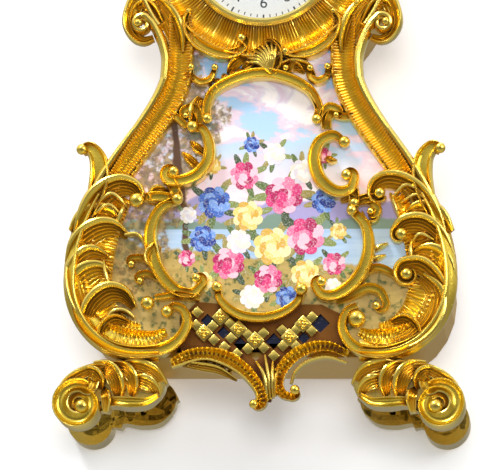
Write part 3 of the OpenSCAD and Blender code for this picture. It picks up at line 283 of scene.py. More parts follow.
def bar(casting, points, width, height):
    """A thin round rib through the points."""
    sweep(casting, smooth_line(points, 0.35), ROUND, width, height)


def leaf(casting, points, width, flutes=4, height=(1.4, 3, 1), curl=None, base=FACE_Y, skirt=0):
    """A fluted leaf along a line; its roll lies on the outside of the bend."""
    fuller = 1.2
    line = smooth_line(points)
    a, b = line[1] - line[0], line[-1] - line[-2]
    side = LEFT if a.x * b.y - a.y * b.x < 0 else RIGHT
    if curl:
        line = curled(line, *curl)
    sweep(casting, line, fluted(flutes), [w * fuller for w in width], height, base, skirt, side=side)


def fringe(casting, points, reach, lobes, width, height, lean):
    """Curled lobes that spring from the left of a line."""
    line = smooth_line(points, 0.3)
    for k in range(lobes):
        t = (k + 0.5) / lobes
        at = int(t * (len(line) - 1))
        run = (line[at + 1] - line[at - 1]).normalized()
        out = Vector((-run.y, run.x))
        far = reach * (0.7 + 0.3 * sin(pi * t))
        p = line[at]
        lobe = [p - out * 0.5, p + (out * 0.5 + run * lean * 0.3) * far,
                p + (out * 0.8 + run * lean) * far]
        sweep(casting, smooth_line(lobe, 0.3), HOLLOW, (width * 0.7, width, 0.35), height)


def draw_all(draw, casting, rows, **common):
    """Draws a bar, leaf, ball or scroll for each row, which holds its arguments in their order."""
    for row in rows:
        draw(casting, *row, **common)


def filled_plate(casting, outline, openings, base, rise):
    """A flat plate with openings, raised from base towards the front."""
    part = bmesh.new()
    for loop in [outline] + openings:
        ring = [part.verts.new((p[0], base, p[1])) for p in loop]
        for pair in zip(ring, ring[1:] + ring[:1]):
            part.edges.new(pair)
    faces = bmesh.ops.triangle_fill(part, use_beauty=True, edges=part.edges)["geom"]
    faces = [g for g in faces if isinstance(g, bmesh.types.BMFace)]
    grown = bmesh.ops.extrude_face_region(part, geom=faces)["geom"]
    bmesh.ops.translate(part, vec=(0, -rise, 0),
                        verts=[g for g in grown if isinstance(g, bmesh.types.BMVert)])
    add_part(casting, part)


def block(casting, centre, size, bevel, turn=0):
    """A box with bevelled edges, turned in the plane of the front."""
    part = bmesh.new()
    bmesh.ops.create_cube(part, size=1, matrix=Matrix.Translation(centre)
                          @ Matrix.Rotation(radians(turn), 4, "Y") @ Matrix.Diagonal((*size, 1)))
    bmesh.ops.bevel(part, geom=part.edges, offset=bevel, segments=2, affect="EDGES", profile=0.5,
                    material=-1)
    add_part(casting, part)


def placed(name, data):
    """An object in the scene that shows the data."""
    made = bpy.data.objects.new(name, data)
    bpy.context.scene.collection.objects.link(made)
    return made


def piece(name, casting, material, replaces=(), smooth=40):
    """Turns a casting, drawn in millimetres, into a named piece."""
    bmesh.ops.scale(casting, vec=(MM, MM, MM), verts=casting.verts)
    mesh = bpy.data.meshes.new(name)
    casting.to_mesh(mesh)
    casting.free()
    mesh.shade_smooth()
    mesh.set_sharp_from_angle(angle=radians(smooth))
    mesh.materials.append(material)
    made = placed(name, mesh)
    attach(made, "root")
    if replaces:
        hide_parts(*replaces)


# Materials

def tone(r, g, b):
    """A colour given as it shows, from 0 to 255, in the scene's linear light."""
    return tuple((c / 255 / 12.92 if c <= 10 else ((c / 255 + 0.055) / 1.055) ** 2.4)
                 for c in (r, g, b)) + (1,)


class Field:
    """A value that varies over a surface or a direction; sums on it add Math nodes."""

    def __init__(self, owner, socket):
        self.owner, self.socket = owner, socket

    def maths(self, operation, *values):
        node = self.owner.node("ShaderNodeMath", {"operation": operation}, dict(enumerate(values)))
        return Field(self.owner, node.outputs[0])

    def __add__(self, other): return self.maths("ADD", self, other)
    def __radd__(self, other): return self.maths("ADD", other, self)
    def __sub__(self, other): return self.maths("SUBTRACT", self, other)
    def __rsub__(self, other): return self.maths("SUBTRACT", other, self)
    def __mul__(self, other): return self.maths("MULTIPLY", self, other)
    def __rmul__(self, other): return self.maths("MULTIPLY", other, self)
    def size(self): return self.maths("ABSOLUTE", self)

    def ramp(self, low, high):
        """0 below low, 1 above high and smooth between."""
        node = self.owner.node("ShaderNodeMapRange", {"interpolation_type": "SMOOTHSTEP", "clamp": True},
                               {"Value": self, "From Min": low, "From Max": high})
        return Field(self.owner, node.outputs["Result"])


class Nodes:
    """The nodes of a material or of the studio around the object."""

    def __init__(self, owner, output):
        owner.use_nodes = True
        self.nodes, self.links = owner.node_tree.nodes, owner.node_tree.links
        self.nodes.clear()
        self.output = self.node(output, {}, {})

    def node(self, kind, settings, sockets):
        made = self.nodes.new(kind)
        for key, value in settings.items():
            setattr(made, key, value)
        for key, value in sockets.items():
            value = value.socket if isinstance(value, Field) else value
            if isinstance(value, bpy.types.NodeSocket):
                self.links.new(value, made.inputs[key])
            else:
                made.inputs[key].default_value = value
        return made

    def split(self, vector):
        return [Field(self, out) for out in self.node("ShaderNodeSeparateXYZ", {}, {0: vector}).outputs]


class Paint(Nodes):
    """A procedural material; patterns read the object's own coordinates, in millimetres."""

    def __init__(self, name):
        self.material = bpy.data.materials.new(name)
        super().__init__(self.material, "ShaderNodeOutputMaterial")
        place = self.node("ShaderNodeTexCoord", {}, {}).outputs["Object"]
        self.place = self.node("ShaderNodeVectorMath", {"operation": "SCALE"},
                               {0: place, "Scale": 1 / MM}).outputs[0]
        self.x, self.y, self.z = self.split(self.place)

    def noise(self, size, detail=3, rough=0.55, stretch=(1, 1, 1), distortion=0):
        """Noise from 0 to 1 whose features are about size millimetres."""
        where = self.node("ShaderNodeVectorMath", {"operation": "MULTIPLY"},
                          {0: self.place, 1: tuple(1 / (size * s) for s in stretch)}).outputs[0]
        return Field(self, self.node("ShaderNodeTexNoise", {}, {
            "Vector": where, "Scale": 1.0, "Detail": detail, "Roughness": rough,
            "Distortion": distortion}).outputs["Fac"])

    def mix(self, a, b, factor):
        return self.node("ShaderNodeMix", {"data_type": "RGBA"}, {0: factor, 6: a, 7: b}).outputs[2]

    def hollows(self, reach):
        """1 deep in a recess and 0 in the open, from ambient occlusion; it masks painted shade."""
        seen = self.node("ShaderNodeAmbientOcclusion", {"samples": 12}, {"Distance": reach * MM})
        return 1 - Field(self, seen.outputs["AO"])

    def crests(self, low, high):
        """1 on a sharp outer edge and 0 on flat ground; it masks painted highlights."""
        seen = self.node("ShaderNodeNewGeometry", {}, {})
        return Field(self, seen.outputs["Pointiness"]).ramp(low, high)

    def bump(self, height, depth, strength=1.0):
        """height from 0 to 1 stands for depth millimetres."""
        return self.node("ShaderNodeBump", {}, {"Strength": strength, "Distance": depth * MM,
                                                "Height": height}).outputs["Normal"]

    def finish(self, **sockets):
        shader = self.node("ShaderNodeBsdfPrincipled", {}, {
            key.replace("_", " "): value for key, value in sockets.items()})
        self.links.new(shader.outputs[0], self.output.inputs["Surface"])
        return self.material


def gilded(name, bright=(251, 217, 84), deep=(230, 174, 46), rough=0.24, reach=0.9, metallic=1.0,
           shine=0.6):
    """Fire-gilt bronze: a painted highlight, pale on its edges; painted shade, warmer in the hollows; and
    at their bottom dark brown that is partly painted shade and partly old grime, duller and rougher.
    """
    p = Paint(name)
    hollow = p.hollows(reach)
    cloud = p.noise(3.2)
    speck = p.noise(0.2, 2)
    # painted shade: the gold turns warmer and darker where ambient occlusion finds a hollow
    warm_shade = (hollow * 1.5 + (cloud - 0.5) * 0.6).ramp(0.1, 1)
    colour = p.mix(tone(*bright), tone(*deep), warm_shade)
    # dark brown deepest in the hollows: painted shade, and also grime that leaves the gold duller and
    # rougher there
    dirt_and_shade = (hollow * 1.4 + (cloud - 0.5) * 0.4).ramp(0.72, 1.3)
    colour = p.mix(colour, tone(62, 30, 14), dirt_and_shade)
    # painted highlight: pale gold on the sharp edges, as strong as shine
    colour = p.mix(colour, tone(255, 232, 142), p.crests(0.515, 0.6) * shine)
    return p.finish(Base_Color=colour, Metallic=metallic - dirt_and_shade * (0.45 * metallic),
                    Roughness=rough + warm_shade * 0.16 + dirt_and_shade * 0.2 + (speck - 0.5) * 0.1,
                    Normal=p.bump(p.noise(0.5) * 0.5 + speck * 0.5, 0.07, 0.7))


def polished(name, colour, dark, rough):
    """Sheet metal with faint drawn marks and a cloudy, handled surface, and painted shade darker in its
    corners.
    """
    p = Paint(name)
    cloud = p.noise(6, 3)
    marks = p.noise(0.35, 3, stretch=(1, 14, 1))
    # painted shade: the dark colour is mixed in where ambient occlusion finds corners
    corner = p.hollows(1.2)
    base = p.mix(tone(*colour), tone(*dark), (corner * 1.2 + (cloud - 0.5) * 0.7).ramp(0, 1))
    return p.finish(Base_Color=base, Metallic=1.0, Roughness=rough + cloud * 0.1 + marks * 0.06,
                    Normal=p.bump(marks, 0.012, 0.5))


cast_gilt = gilded("cast_gilt")
cove_gilt = gilded("cove_gilt", bright=(250, 210, 72), deep=(228, 168, 40), rough=0.3, reach=0.7)
# a darker, duller copy of the gilding for the plates behind the apron lattice and the crest: painted shade
painted_shade_gilt = gilded("painted_shade_gilt", bright=(128, 80, 26), deep=(74, 36, 14), rough=0.5, reach=1.6,
                   metallic=0.6, shine=0)
foot_gilt = gilded("foot_gilt", rough=0.22, reach=1.4)
band_gilt = polished("band_gilt", (232, 190, 96), (190, 138, 52), 0.34)
back_gilt = polished("back_gilt", (226, 180, 92), (160, 110, 44), 0.3)
hand_gilt = polished("hand_gilt", (200, 146, 60), (120, 74, 24), 0.3)
raw_brass = polished("raw_brass", (206, 170, 92), (120, 86, 40), 0.34)
movement_brass = polished("movement_brass", (224, 186, 104), (150, 110, 52), 0.24)
bright_steel = polished("bright_steel", (196, 196, 198), (110, 108, 110), 0.22)
blue_steel = polished("blue_steel", (42, 60, 140), (20, 22, 60), 0.22)


def painted_plaque():
    """A glazed miniature: a lake under a clouded sky, with a tree at the left and a bank below."""
    haze_z, hill_z, near_z, shore_z, bank_z, apron_z = 62, 46, 42.5, 40.5, 35, 24
    p = Paint("enamel_painting")
    height = p.z + (p.noise(9, 3) - 0.5) * 7
    sky = p.mix(tone(176, 208, 236), tone(120, 168, 220), (p.z - 60).ramp(0, 22))
    sky = p.mix(sky, tone(240, 222, 226), (haze_z - height).ramp(0, 16))
    cloud = p.noise(11, 5, 0.6, stretch=(1.5, 1, 0.8), distortion=0.6)
    sky = p.mix(sky, tone(250, 240, 236), cloud.ramp(0.5, 0.62))
    cloud_edge = cloud.ramp(0.47, 0.53) * (1 - cloud.ramp(0.53, 0.6))
    sky = p.mix(sky, tone(244, 196, 204), cloud_edge * 0.6)

    hill_line = hill_z + (p.noise(8, 2, stretch=(1, 1, 9)) - 0.5) * 9
    colour = p.mix(tone(170, 160, 204), sky, (p.z - hill_line).ramp(-0.3, 0.5))
    near_line = near_z + (p.noise(5, 3, stretch=(1, 1, 9)) - 0.5) * 6
    colour = p.mix(tone(126, 148, 132), colour, (p.z - near_line).ramp(-0.3, 0.3))
    lake = p.mix(tone(206, 222, 236), tone(128, 168, 212), p.noise(2.4, 3, stretch=(6, 1, 0.5)))
    colour = p.mix(lake, colour, (p.z - shore_z).ramp(-0.15, 0.15))
    bank_line = bank_z + (p.noise(7, 4, stretch=(1, 1, 9)) - 0.5) * 8 - p.x * 0.12
    bank = p.mix(tone(150, 128, 62), tone(206, 178, 112), p.noise(2.2, 4, stretch=(2, 1, 0.6)))
    bank = p.mix(bank, tone(86, 96, 52), p.noise(1.6, 4).ramp(0.5, 0.66))
    colour = p.mix(bank, colour, (p.z - bank_line).ramp(-0.4, 0.4))

    crown = (p.noise(6, 5, 0.65) * 22 - (p.x + 10) * 1.1 - (p.z - 62).size() * 0.55).ramp(7.4, 9)
    leaves = p.mix(tone(104, 84, 50), tone(172, 140, 82), p.noise(0.9, 3).ramp(0.35, 0.65))
    leaves = p.mix(leaves, tone(92, 110, 72), p.noise(2.6, 2).ramp(0.5, 0.7) * 0.6)
    clumps = p.noise(1.3, 4, 0.6).ramp(0.36, 0.52)
    colour = p.mix(colour, leaves, crown * clumps * 0.85)
    from_trunk = (p.x + 15.2 + (p.z - 40) * 0.12 + (p.noise(7, 2) - 0.5) * 3).size()
    trunk = (1 - from_trunk.ramp(0.5, 0.95)) * (p.z - 33).ramp(0, 1) * (1 - (p.z - 66).ramp(0, 3))
    colour = p.mix(colour, tone(92, 66, 50), trunk)

    # painted shade: the picture turns dark navy behind the apron, where its openings show it
    shade_behind_apron = (apron_z - p.z).ramp(0, 0.6) * (15 - p.x.size()).ramp(0, 0.6)
    colour = p.mix(colour, tone(16, 26, 56), shade_behind_apron)
    stroke = p.noise(0.5, 2, stretch=(1.6, 1, 0.7))
    colour = p.mix(colour, tone(255, 250, 246), stroke.ramp(0.6, 0.8) * 0.18)
    return p.finish(Base_Color=colour, Roughness=0.12 + p.noise(4) * 0.08, Coat_Weight=0.6,
                    Coat_Roughness=0.05, Normal=p.bump(p.noise(1.4, 2), 0.03, 0.35))


def painted_flowers():
    """Thick enamel strokes, each in its own colour."""
    p = Paint("enamel_flowers")
    own = p.node("ShaderNodeAttribute", {"attribute_name": "stroke"}, {}).outputs["Color"]
    fine = p.noise(0.35, 2)
    colour = p.mix(own, tone(255, 250, 246), fine.ramp(0.45, 0.75) * 0.35)
    return p.finish(Base_Color=colour, Roughness=0.14 + fine * 0.06, Coat_Weight=0.6, Coat_Roughness=0.05)


def white_enamel():
    p = Paint("dial_enamel")
    cloud = p.noise(5, 3)
    colour = p.mix(tone(255, 255, 253), tone(246, 249, 252), cloud)
    return p.finish(Base_Color=colour, Roughness=0.16 + cloud * 0.06, Coat_Weight=0.5, Coat_Roughness=0.04,
                    Normal=p.bump(p.noise(2.5, 2), 0.02, 0.3))


def dark_enamel(name, colour):
    p = Paint(name)
    fade = p.noise(0.5, 3)
    return p.finish(Base_Color=p.mix(tone(*colour), tone(84, 84, 92), fade.ramp(0.5, 0.8) * 0.6),
                    Roughness=0.25 + fade * 0.1)


def clear_glass():
    p = Paint("clear_glass")
    index = 1.45
    smear = p.noise(6, 3)
    shine = p.node("ShaderNodeBsdfPrincipled", {}, {
        "Base Color": tone(235, 240, 242), "Roughness": 0.05 + smear * 0.06, "IOR": index})
    clear = p.node("ShaderNodeBsdfTransparent", {}, {"Color": (1, 1, 1, 1)})
    facing = Field(p, p.node("ShaderNodeFresnel", {}, {"IOR": index}).outputs[0])
    both = p.node("ShaderNodeMixShader", {}, {0: facing * 0.9, 1: clear.outputs[0], 2: shine.outputs[0]})
    p.links.new(both.outputs[0], p.output.inputs["Surface"])
    return p.material


enamel_painting = painted_plaque()
enamel_flowers = painted_flowers()
dial_enamel = white_enamel()
numeral_enamel = dark_enamel("numeral_enamel", (28, 34, 40))
glass = clear_glass()


def front_piece(name, casting, material=cast_gilt):
    """A piece that takes the place of the cast front frame."""
    piece(name, casting, material, ["front_frame"])


# The edge of the front: its border with the outer bead, and the ribbed side coves

border, coves = bmesh.new(), bmesh.new()
for turn in (1, -1):
    plate_line = [p for p in body_side(2.6) if p.x > BOW or p.y > BULGE_Z]
    sweep(border, across(plate_line, turn), PLATE, (5.2,) * 3, (0.9,) * 3)
    edge = spaced([p for p in body_side(2.5, -1, 48) if p.x > BOW or p.y > BULGE_Z], 0.5)
    sweep(border, across(edge, turn), EDGE, (4.4, 5, 3), (3, 3.5, 3.2), side=RIGHT * turn)
    neck = spaced(body_side(0.8, 40, 62), 0.5)
    sweep(border, across(neck, turn), ROUND, (1.5, 1.7, 1.6), (2.2, 3.4, 3.4))

    outer = spaced(body_side(3.5, 44, 84), 0.12)
    sweep(coves, across(outer, turn), COVE, (2.4, 4.6, 4.6), (2.6, 3.1, 3), ribs=0.6, rib_depth=0.16,
          side=RIGHT * turn)
    inner = spaced(body_side(5.8, 50, 82), 0.2)
    sweep(coves, across(inner, turn), ROUND, (0.7, 0.9, 0.9), (2.4, 3, 2.8), ribs=1.7, rib_depth=0.3)
    ground = spaced([p for p in body_side(7, -1, 47) if p.x > 22 and p.y > 19], 0.14)
    sweep(coves, across(ground, turn), COVE, (2, 5.6, 3), (1.6, 2, 1.6), ribs=0.8, rib_depth=0.28,
          side=RIGHT * turn)
front_piece("front_border", border)
front_piece("side_coves", coves, cove_gilt)

# The ribbed coves round the dial, and the rim outside them

surround = bmesh.new()
sweep(surround, arc(DIAL_MIDDLE, BEZEL_R + 3.1, 0, 360, 0.15), COVE, (6.4,) * 3, (3, 3, 3), ribs=0.62,
      rib_depth=0.2, side=RIGHT, closed=True)
sweep(surround, arc(DIAL_MIDDLE, HEAD_R - 2.6, -38, 218, 0.2), COVE, (5.2,) * 3, (2.9, 2.9, 2.9),
      ribs=1.3, rib_depth=0.35, side=RIGHT)
sweep(surround, arc(DIAL_MIDDLE, BEZEL_R + 6.1, 0, 360), ROUND, (0.9,) * 3, (2.9,) * 3, closed=True)
front_piece("dial_surround", surround, cove_gilt)

rim = bmesh.new()
sweep(rim, arc(DIAL_MIDDLE, HEAD_R - 0.75, -36, 216), ROUND, (1.4,) * 3, (3.4,) * 3)
front_piece("head_rim", rim)

# The big volutes at the shoulders of the head

volutes = bmesh.new()
for turn in (1, -1):
    path = spaced(body_side(0.9, 56, 72), 0.5)
    path += [Vector(p) for p in ((19.3, 74.8), (19.8, 77.4), (20.8, 80), (22, 82.2), (23, 83.3))]
    path += spiral((24.3, 82.2), 1.8, 0.7, 118, -1.3, 1)
    scroll(volutes, across(path, turn), (1.6, 2.2, 1), LEFT * turn, (0, 0.85), None, (2.8, 3.7, 3), ROUND)
    for points, width, flutes, height in (
            (((21.6, 95), (24, 90.2), (26, 86), (26.8, 82.6), (25.8, 80.1), (24, 79), (22, 79.6)),
             (2, 2.8, 1.2), 3, (2.6, 3.4, 2)),
            (((16.6, 76.4), (17.4, 80.4), (19.2, 84.4), (22, 88)), (1.6, 3.8, 1.6), 5, (1.8, 3.2, 1.8)),
            (((20.6, 82.6), (22.6, 85.6), (24.6, 86.2), (26.2, 84.4)), (1.2, 2.2, 0.8), 3,
             (1.8, 3, 1.6))):
        leaf(volutes, across(points, turn), width, flutes, height)
front_piece("head_volutes", volutes)

# The scrolls, the shell and the leaves under the dial

under = bmesh.new()
draw_all(scroll, under, [
    ([(-14.9, 84.8), (-15.3, 83), (-14.5, 80), (-12, 77.6), (-8, 76), (-4.7, 76.6), (-3.3, 78)],
     (1, 2.2, 1.1), RIGHT, (0.5, 0.9), (1, 0.4), (2.6, 3.4, 2.8)),
    ([(14.4, 84.6), (15.2, 82.4), (13.7, 79), (10.5, 76.8), (7.4, 76.1), (4.8, 76.4)], (1, 2.2, 1), LEFT,
     (0.5, 0.7), None, (2.6, 3.4, 2.6)),
    ([(0.6, 78.6), (2.4, 78.4), (3.6, 77.2), (3.4, 75.6)], (0.7, 1.2, 0.7), RIGHT, (0, 0.6), (0.8, -0.4),
     (3, 3.7, 2.8)),
    ([(3.4, 75.6), (5.2, 75.4), (6.4, 74.2), (5.9, 72.8)], (0.7, 1.2, 0.7), RIGHT, (0, 0.6), (0.7, -0.4),
     (2.6, 3.4, 2.6))])
for points in ([(-14.6, 85.4), (-15.7, 83.2), (-15.3, 80.2), (-12.9, 77.2), (-8.6, 75.2), (-5, 75.5),
                (-3.2, 77.2), (-4.2, 78.6)],
               [(14.2, 85.2), (15.7, 82.6), (14.5, 78.8), (11.2, 76), (7.6, 75.2), (4.6, 75.7)]):
    bar(under, points, (0.7, 1.1, 0.7), (3.2, 3.9, 3.4))
for k in range(9):
    tip = polar((1.6, 72.4), 6.4 - 0.16 * k, 78 + 10 * k)
    middle = Vector((1.9, 72)).lerp(tip, 0.55) + Vector((0.4, 0.5))
    sweep(under, smooth_line([(1.9, 71.8), middle, tip], 0.3), ROUND, (0.5, 1.15, 0.7), (2.6, 3.6, 2.4))
draw_all(leaf, under, [
    ([(-3.4, 75.6), (-5.4, 74.2), (-7, 72.2)], (1, 1.8, 0.4), 3),
    ([(-1.6, 74.4), (-3, 73.6), (-4.2, 73)], (1, 1.6, 0.4), 3),
    ([(4.6, 74), (6.6, 73.6), (8.6, 72.2)], (1, 1.6, 0.4), 3),
    ([(2.2, 72), (3.2, 74.6), (2.8, 77), (1.2, 79)], (1.4, 2, 1), 3, (2.4, 3.4, 2.6)),
    ([(2.6, 72), (5.4, 73.6), (8.8, 73.4), (10.6, 71.6)], (1.2, 2.2, 0.8), 4, (2.2, 3.2, 1.8))])
front_piece("shell_under_dial", under)

# The cartouche round the picture

window = bmesh.new()
draw_all(scroll, window, [
    ([(-10.8, 62.6), (-11, 65), (-9.5, 68.5), (-5, 71), (0, 72), (5.2, 71), (9.6, 68.6), (11.6, 65),
     (11.2, 62.4)], (1.8, 2.5, 1.8), RIGHT, (1, 1), None, (2.8, 3.4, 2.8)),
    ([(-13.8, 61), (-11.6, 60.4), (-10.4, 57.4), (-10.6, 54), (-12.7, 51.3), (-15.5, 50.1), (-17.9, 50)],
     (1.6, 2.8, 1.4), LEFT, (1.2, 1.1), (1.7, -0.75), (2.8, 3.8, 2.6)),
    ([(-16.6, 46.2), (-20, 44.3), (-21.8, 40.5), (-21.7, 36.2), (-20, 31.6), (-17, 28.2), (-13.6, 27.2),
     (-11.4, 29)], (1.8, 2.9, 1.4), RIGHT, (1.2, 0.9), (1.2, 0.55), (2.8, 3.7, 2.6)),
    ([(-8.4, 28.4), (-7.5, 25.5), (-4.2, 23), (0, 22.2), (4.2, 23), (7.5, 25.3), (8.4, 27.9)],
     (1.5, 2.2, 1.5), RIGHT, (1.1, 1.3), None, (2.8, 3.5, 2.8)),
    ([(18.4, 43.8), (21, 41), (21.8, 36.5), (20.8, 32.2), (18.4, 28.8), (15.2, 26.8), (12.6, 26.9),
     (11.2, 28.6)], (1.8, 2.9, 1.4), LEFT, (1.1, 1), (1.1, -0.55), (2.8, 3.7, 2.6)),
    ([(16.8, 57.7), (14.6, 59.2), (11.8, 57.8), (10.8, 54.2), (12, 50.3), (15, 47.8), (18, 48.2),
     (18.9, 50.6)], (1.6, 2.9, 1.4), RIGHT, (1.2, 1.1), (1.2, 0.55), (2.8, 3.8, 2.6))])
bar(window, [(7, 69.3), (9.6, 67.8), (11.8, 64.5)], (0.6, 0.9, 0.5), (2, 3.6, 2))
draw_all(leaf, window, [
    ([(-10.9, 55.5), (-12.6, 56.6), (-14.4, 58.4)], (0.8, 1.7, 0.4), 3),
    ([(-12, 52.6), (-13.8, 54), (-16, 56.2)], (0.8, 1.7, 0.4), 3),
    ([(13, 55), (14.2, 54.2), (15.3, 54.3)], (0.8, 1.4, 0.5), 3),
    ([(16, 46), (17.8, 46.6), (19.5, 46)], (0.8, 1.5, 0.5), 3),
    ([(-20.6, 37.2), (-21.7, 34.6), (-20.6, 32.2)], (1.4, 2.8, 0.8), 4, (2.6, 3.8, 2.4))])
fringe(window, [(-10.8, 66.8), (-8, 70.2), (-3.4, 72.4)], 1.9, 6, 1.7, (1.6, 2.6, 0.9), 0.3)
front_piece("cartouche", window)

# The small scrolls that join the cartouche to the edge

bridges = bmesh.new()
draw_all(scroll, bridges, [
    ([(-14.2, 73.3), (-14.1, 71.6), (-12.4, 70.3), (-10.4, 70.9), (-9.4, 73.2)], (1, 1.6, 1), RIGHT,
     (0.7, 0.7)),
    ([(9.8, 73), (9.7, 71.4), (11.4, 70.4), (13.1, 71.4), (13.3, 73.3)], (1, 1.6, 1), RIGHT, (0.7, 0.7)),
    ([(-16.8, 46.4), (-20.4, 46.8), (-24.4, 46.6)], (1.6, 2.4, 1.4), RIGHT, (1, 0)),
    ([(18.8, 45.4), (21, 46.2), (24, 46.4)], (1.6, 2.2, 1.4), LEFT, (1, 0)),
    ([(19.6, 45.4), (21.6, 45.7), (23.3, 44.6)], (1, 1.8, 0.9), LEFT, (0, 0.7), (1.2, -0.7),
     (2.2, 3.2, 2.4))])
for turn in (1, -1):
    scroll(bridges, across(((12.6, 61), (12.4, 63.2), (13.6, 65), (15.4, 64.6)), turn), (1.2, 2, 1),
           RIGHT * turn, (0, 0.6), (0.9, -0.5 * turn), (2.2, 3.2, 2.4))
for width, points in ((2.2, [(13.2, 60.6), (13.2, 62.6), (14.4, 64)]),
                      (1.6, [(-15, 61.2), (-17, 63), (-18.6, 64.4)]),
                      (1.6, [(14.6, 63.6), (16.6, 63), (18.6, 63.2)]),
                      (1.1, [(-15.8, 71.6), (-14.6, 71.4), (-13.6, 71.4)]),
                      (1.1, [(13, 72), (14.4, 72.2), (16, 72.4)]),
                      (2.4, [(-18.4, 50.6), (-17.4, 48.6), (-16.6, 46.6)]),
                      (2.4, [(18.6, 48.2), (18.8, 46), (18.4, 44)])):
    scroll(bridges, points, (width,) * 3, height=(2.4, 2.9, 2.4))
draw_all(leaf, bridges, [
    ([(-13.6, 61.2), (-13, 63.6), (-12.8, 66), (-12.4, 67.4)], (1.8, 3.2, 1), 5, (2, 3.4, 1.6)),
    ([(-21.8, 45.4), (-21, 48), (-18.6, 48)], (1.2, 2.2, 0.8), 3)])
bar(bridges, [polar((22.3, 43.5), 1.9, a) for a in (170, 240, 300, 370)], (0.5, 0.7, 0.5), (2.2, 3, 2.2))
front_piece("bridges", bridges)

# The leaves between the cartouche and the edge

left_leaves = bmesh.new()
draw_all(leaf, left_leaves, [
    ([(-36.6, 38.6), (-35, 42.6), (-32.4, 46.8), (-28.6, 49.2), (-25.4, 48.6), (-24.2, 46.4)],
     (2.2, 4.4, 2), 5, (2, 3.9, 2.8)),
    ([(-37.8, 39.6), (-34.6, 42.6), (-31, 43.4), (-28.6, 42)], (2, 4.6, 1), 4, (1.8, 2.7, 1.6)),
    ([(-38.2, 33.4), (-36.2, 37.6), (-32.8, 40.2), (-29.4, 40.6), (-26.6, 38.9)], (2, 4.2, 1), 5,
     (1.8, 3.6, 1.8)),
    ([(-38.4, 29.6), (-36.6, 33.2), (-33.8, 35.4), (-30.4, 34.6)], (2, 3.6, 1), 4, (1.8, 3.3, 1.6)),
    ([(-38, 26.4), (-35.6, 30.2), (-32.6, 31.8), (-30, 31)], (2.4, 5, 1.4), 5, (1.8, 2.9, 1.6)),
    ([(-37.8, 35), (-37.4, 30), (-36, 25), (-33.6, 21.4)], (1.4, 3.2, 1.4), 4, (2, 3.5, 2.2)),
    ([(-35.4, 19.6), (-33.6, 24.6), (-30.4, 27.4), (-27.2, 27), (-25.1, 24.4)], (1.6, 3.8, 1.2), 5,
     (2, 3.9, 2.4))])
draw_all(bar, left_leaves, [
    ([(-33.8, 44.4), (-30, 47.4), (-26.8, 45)], (0.8, 1.2, 0.8), (2, 3.3, 2)),
    ([(-34.2, 42.6), (-30.6, 45.2), (-28, 43.4)], (0.6, 1, 0.6), (2, 3, 2)),
    ([(-27.2, 45.6), (-28, 43.4), (-29, 41)], (0.7, 1.1, 0.7), (2, 3.2, 2)),
    ([(-27.2, 39.2), (-24.6, 39.2), (-22.8, 37)], (0.8, 1, 0.8), (2.2, 2.9, 2.2)),
    ([(-31.4, 34), (-30.8, 31), (-29.8, 28)], (0.7, 1.1, 0.7), (2, 3.1, 2)),
    ([(-31.4, 20.6), (-29.4, 23.4), (-27, 23.8), (-25, 22.4)], (0.7, 1.2, 0.7), (2, 3.2, 2))])
draw_all(scroll, left_leaves, [
    ([(-21.2, 33), (-23.6, 34.4), (-25.6, 34.4)], (1, 1.4, 0.9), RIGHT, (0, 0.7), (0.9, 0.5)),
    ([(-20.2, 30), (-22.2, 31.2), (-24, 31)], (1, 1.4, 0.9), RIGHT, (0, 0.7), (0.9, 0.5)),
    ([(-12, 26.2), (-16.6, 26.8), (-21, 26.4)], (1.2, 1.7, 1.2), RIGHT)])
draw_all(ball, left_leaves, [
    ((-24.8, 46), 1.5, 2.8, FACE_Y, 0.8),
    ((-22.3, 25.2), 1.4, 2.4)])
front_piece("left_leaves", left_leaves)

right_leaves = bmesh.new()
draw_all(leaf, right_leaves, [
    ([(36.4, 39), (34.6, 43.4), (32, 47.2), (28.6, 49.6), (25.4, 50.2), (23.3, 49.2), (22.7, 47.6)],
     (2, 3.4, 1.6), 4, (2, 3.9, 2.8), (1.3, 0.5)),
    ([(38, 39.4), (34.6, 43), (31.6, 44), (29.2, 43)], (2, 4.4, 1), 4, (1.8, 2.7, 1.6)),
    ([(38, 34.6), (35.8, 38.6), (32.6, 41.2), (29.2, 41.2), (27.4, 39.6)], (2, 3.6, 1.2), 5,
     (1.8, 3.7, 2.4), (1, 0.45)),
    ([(38.4, 29.6), (35.6, 34.2), (33, 35.6), (31, 35.2)], (2.2, 4.4, 1.2), 4, (1.8, 2.9, 1.6)),
    ([(37.6, 24.4), (36.4, 28), (34.4, 31), (32, 32.8), (29.6, 32.8)], (1.8, 3.2, 1.4), 4, (2, 3.8, 2.6),
     (1.8, 0.9)),
    ([(32.2, 30.6), (35.2, 27), (34.2, 22.2), (30.6, 18.4), (26, 16.8)], (2, 4.6, 2.4), 5,
     (2.2, 3.6, 2.4))])
draw_all(bar, right_leaves, [
    ([(26.4, 46.6), (29.4, 49), (33.6, 46.6)], (0.7, 1.1, 0.7), (2, 3.3, 2)),
    ([(28.2, 45.6), (31.4, 47), (34, 45.4)], (0.6, 1, 0.6), (2, 3.1, 2)),
    ([(26, 47.5), (27, 44.8), (28, 42)], (0.7, 1.1, 0.7), (2, 3.2, 2)),
    ([(30.2, 38), (30.2, 35.4), (30.5, 33)], (0.7, 1.1, 0.7), (2, 3.1, 2)),
    ([(30.3, 37.4), (32, 39), (34.8, 38)], (0.7, 1.1, 0.7), (2, 3.2, 2)),
    ([(21.8, 35.6), (23.6, 36.4), (25.6, 37.4)], (1, 1.2, 0.4), (2, 2.8, 1.6)),
    ([(21.6, 33.8), (23.4, 34.3), (25.2, 35)], (1, 1.2, 0.4), (2, 2.8, 1.6))])
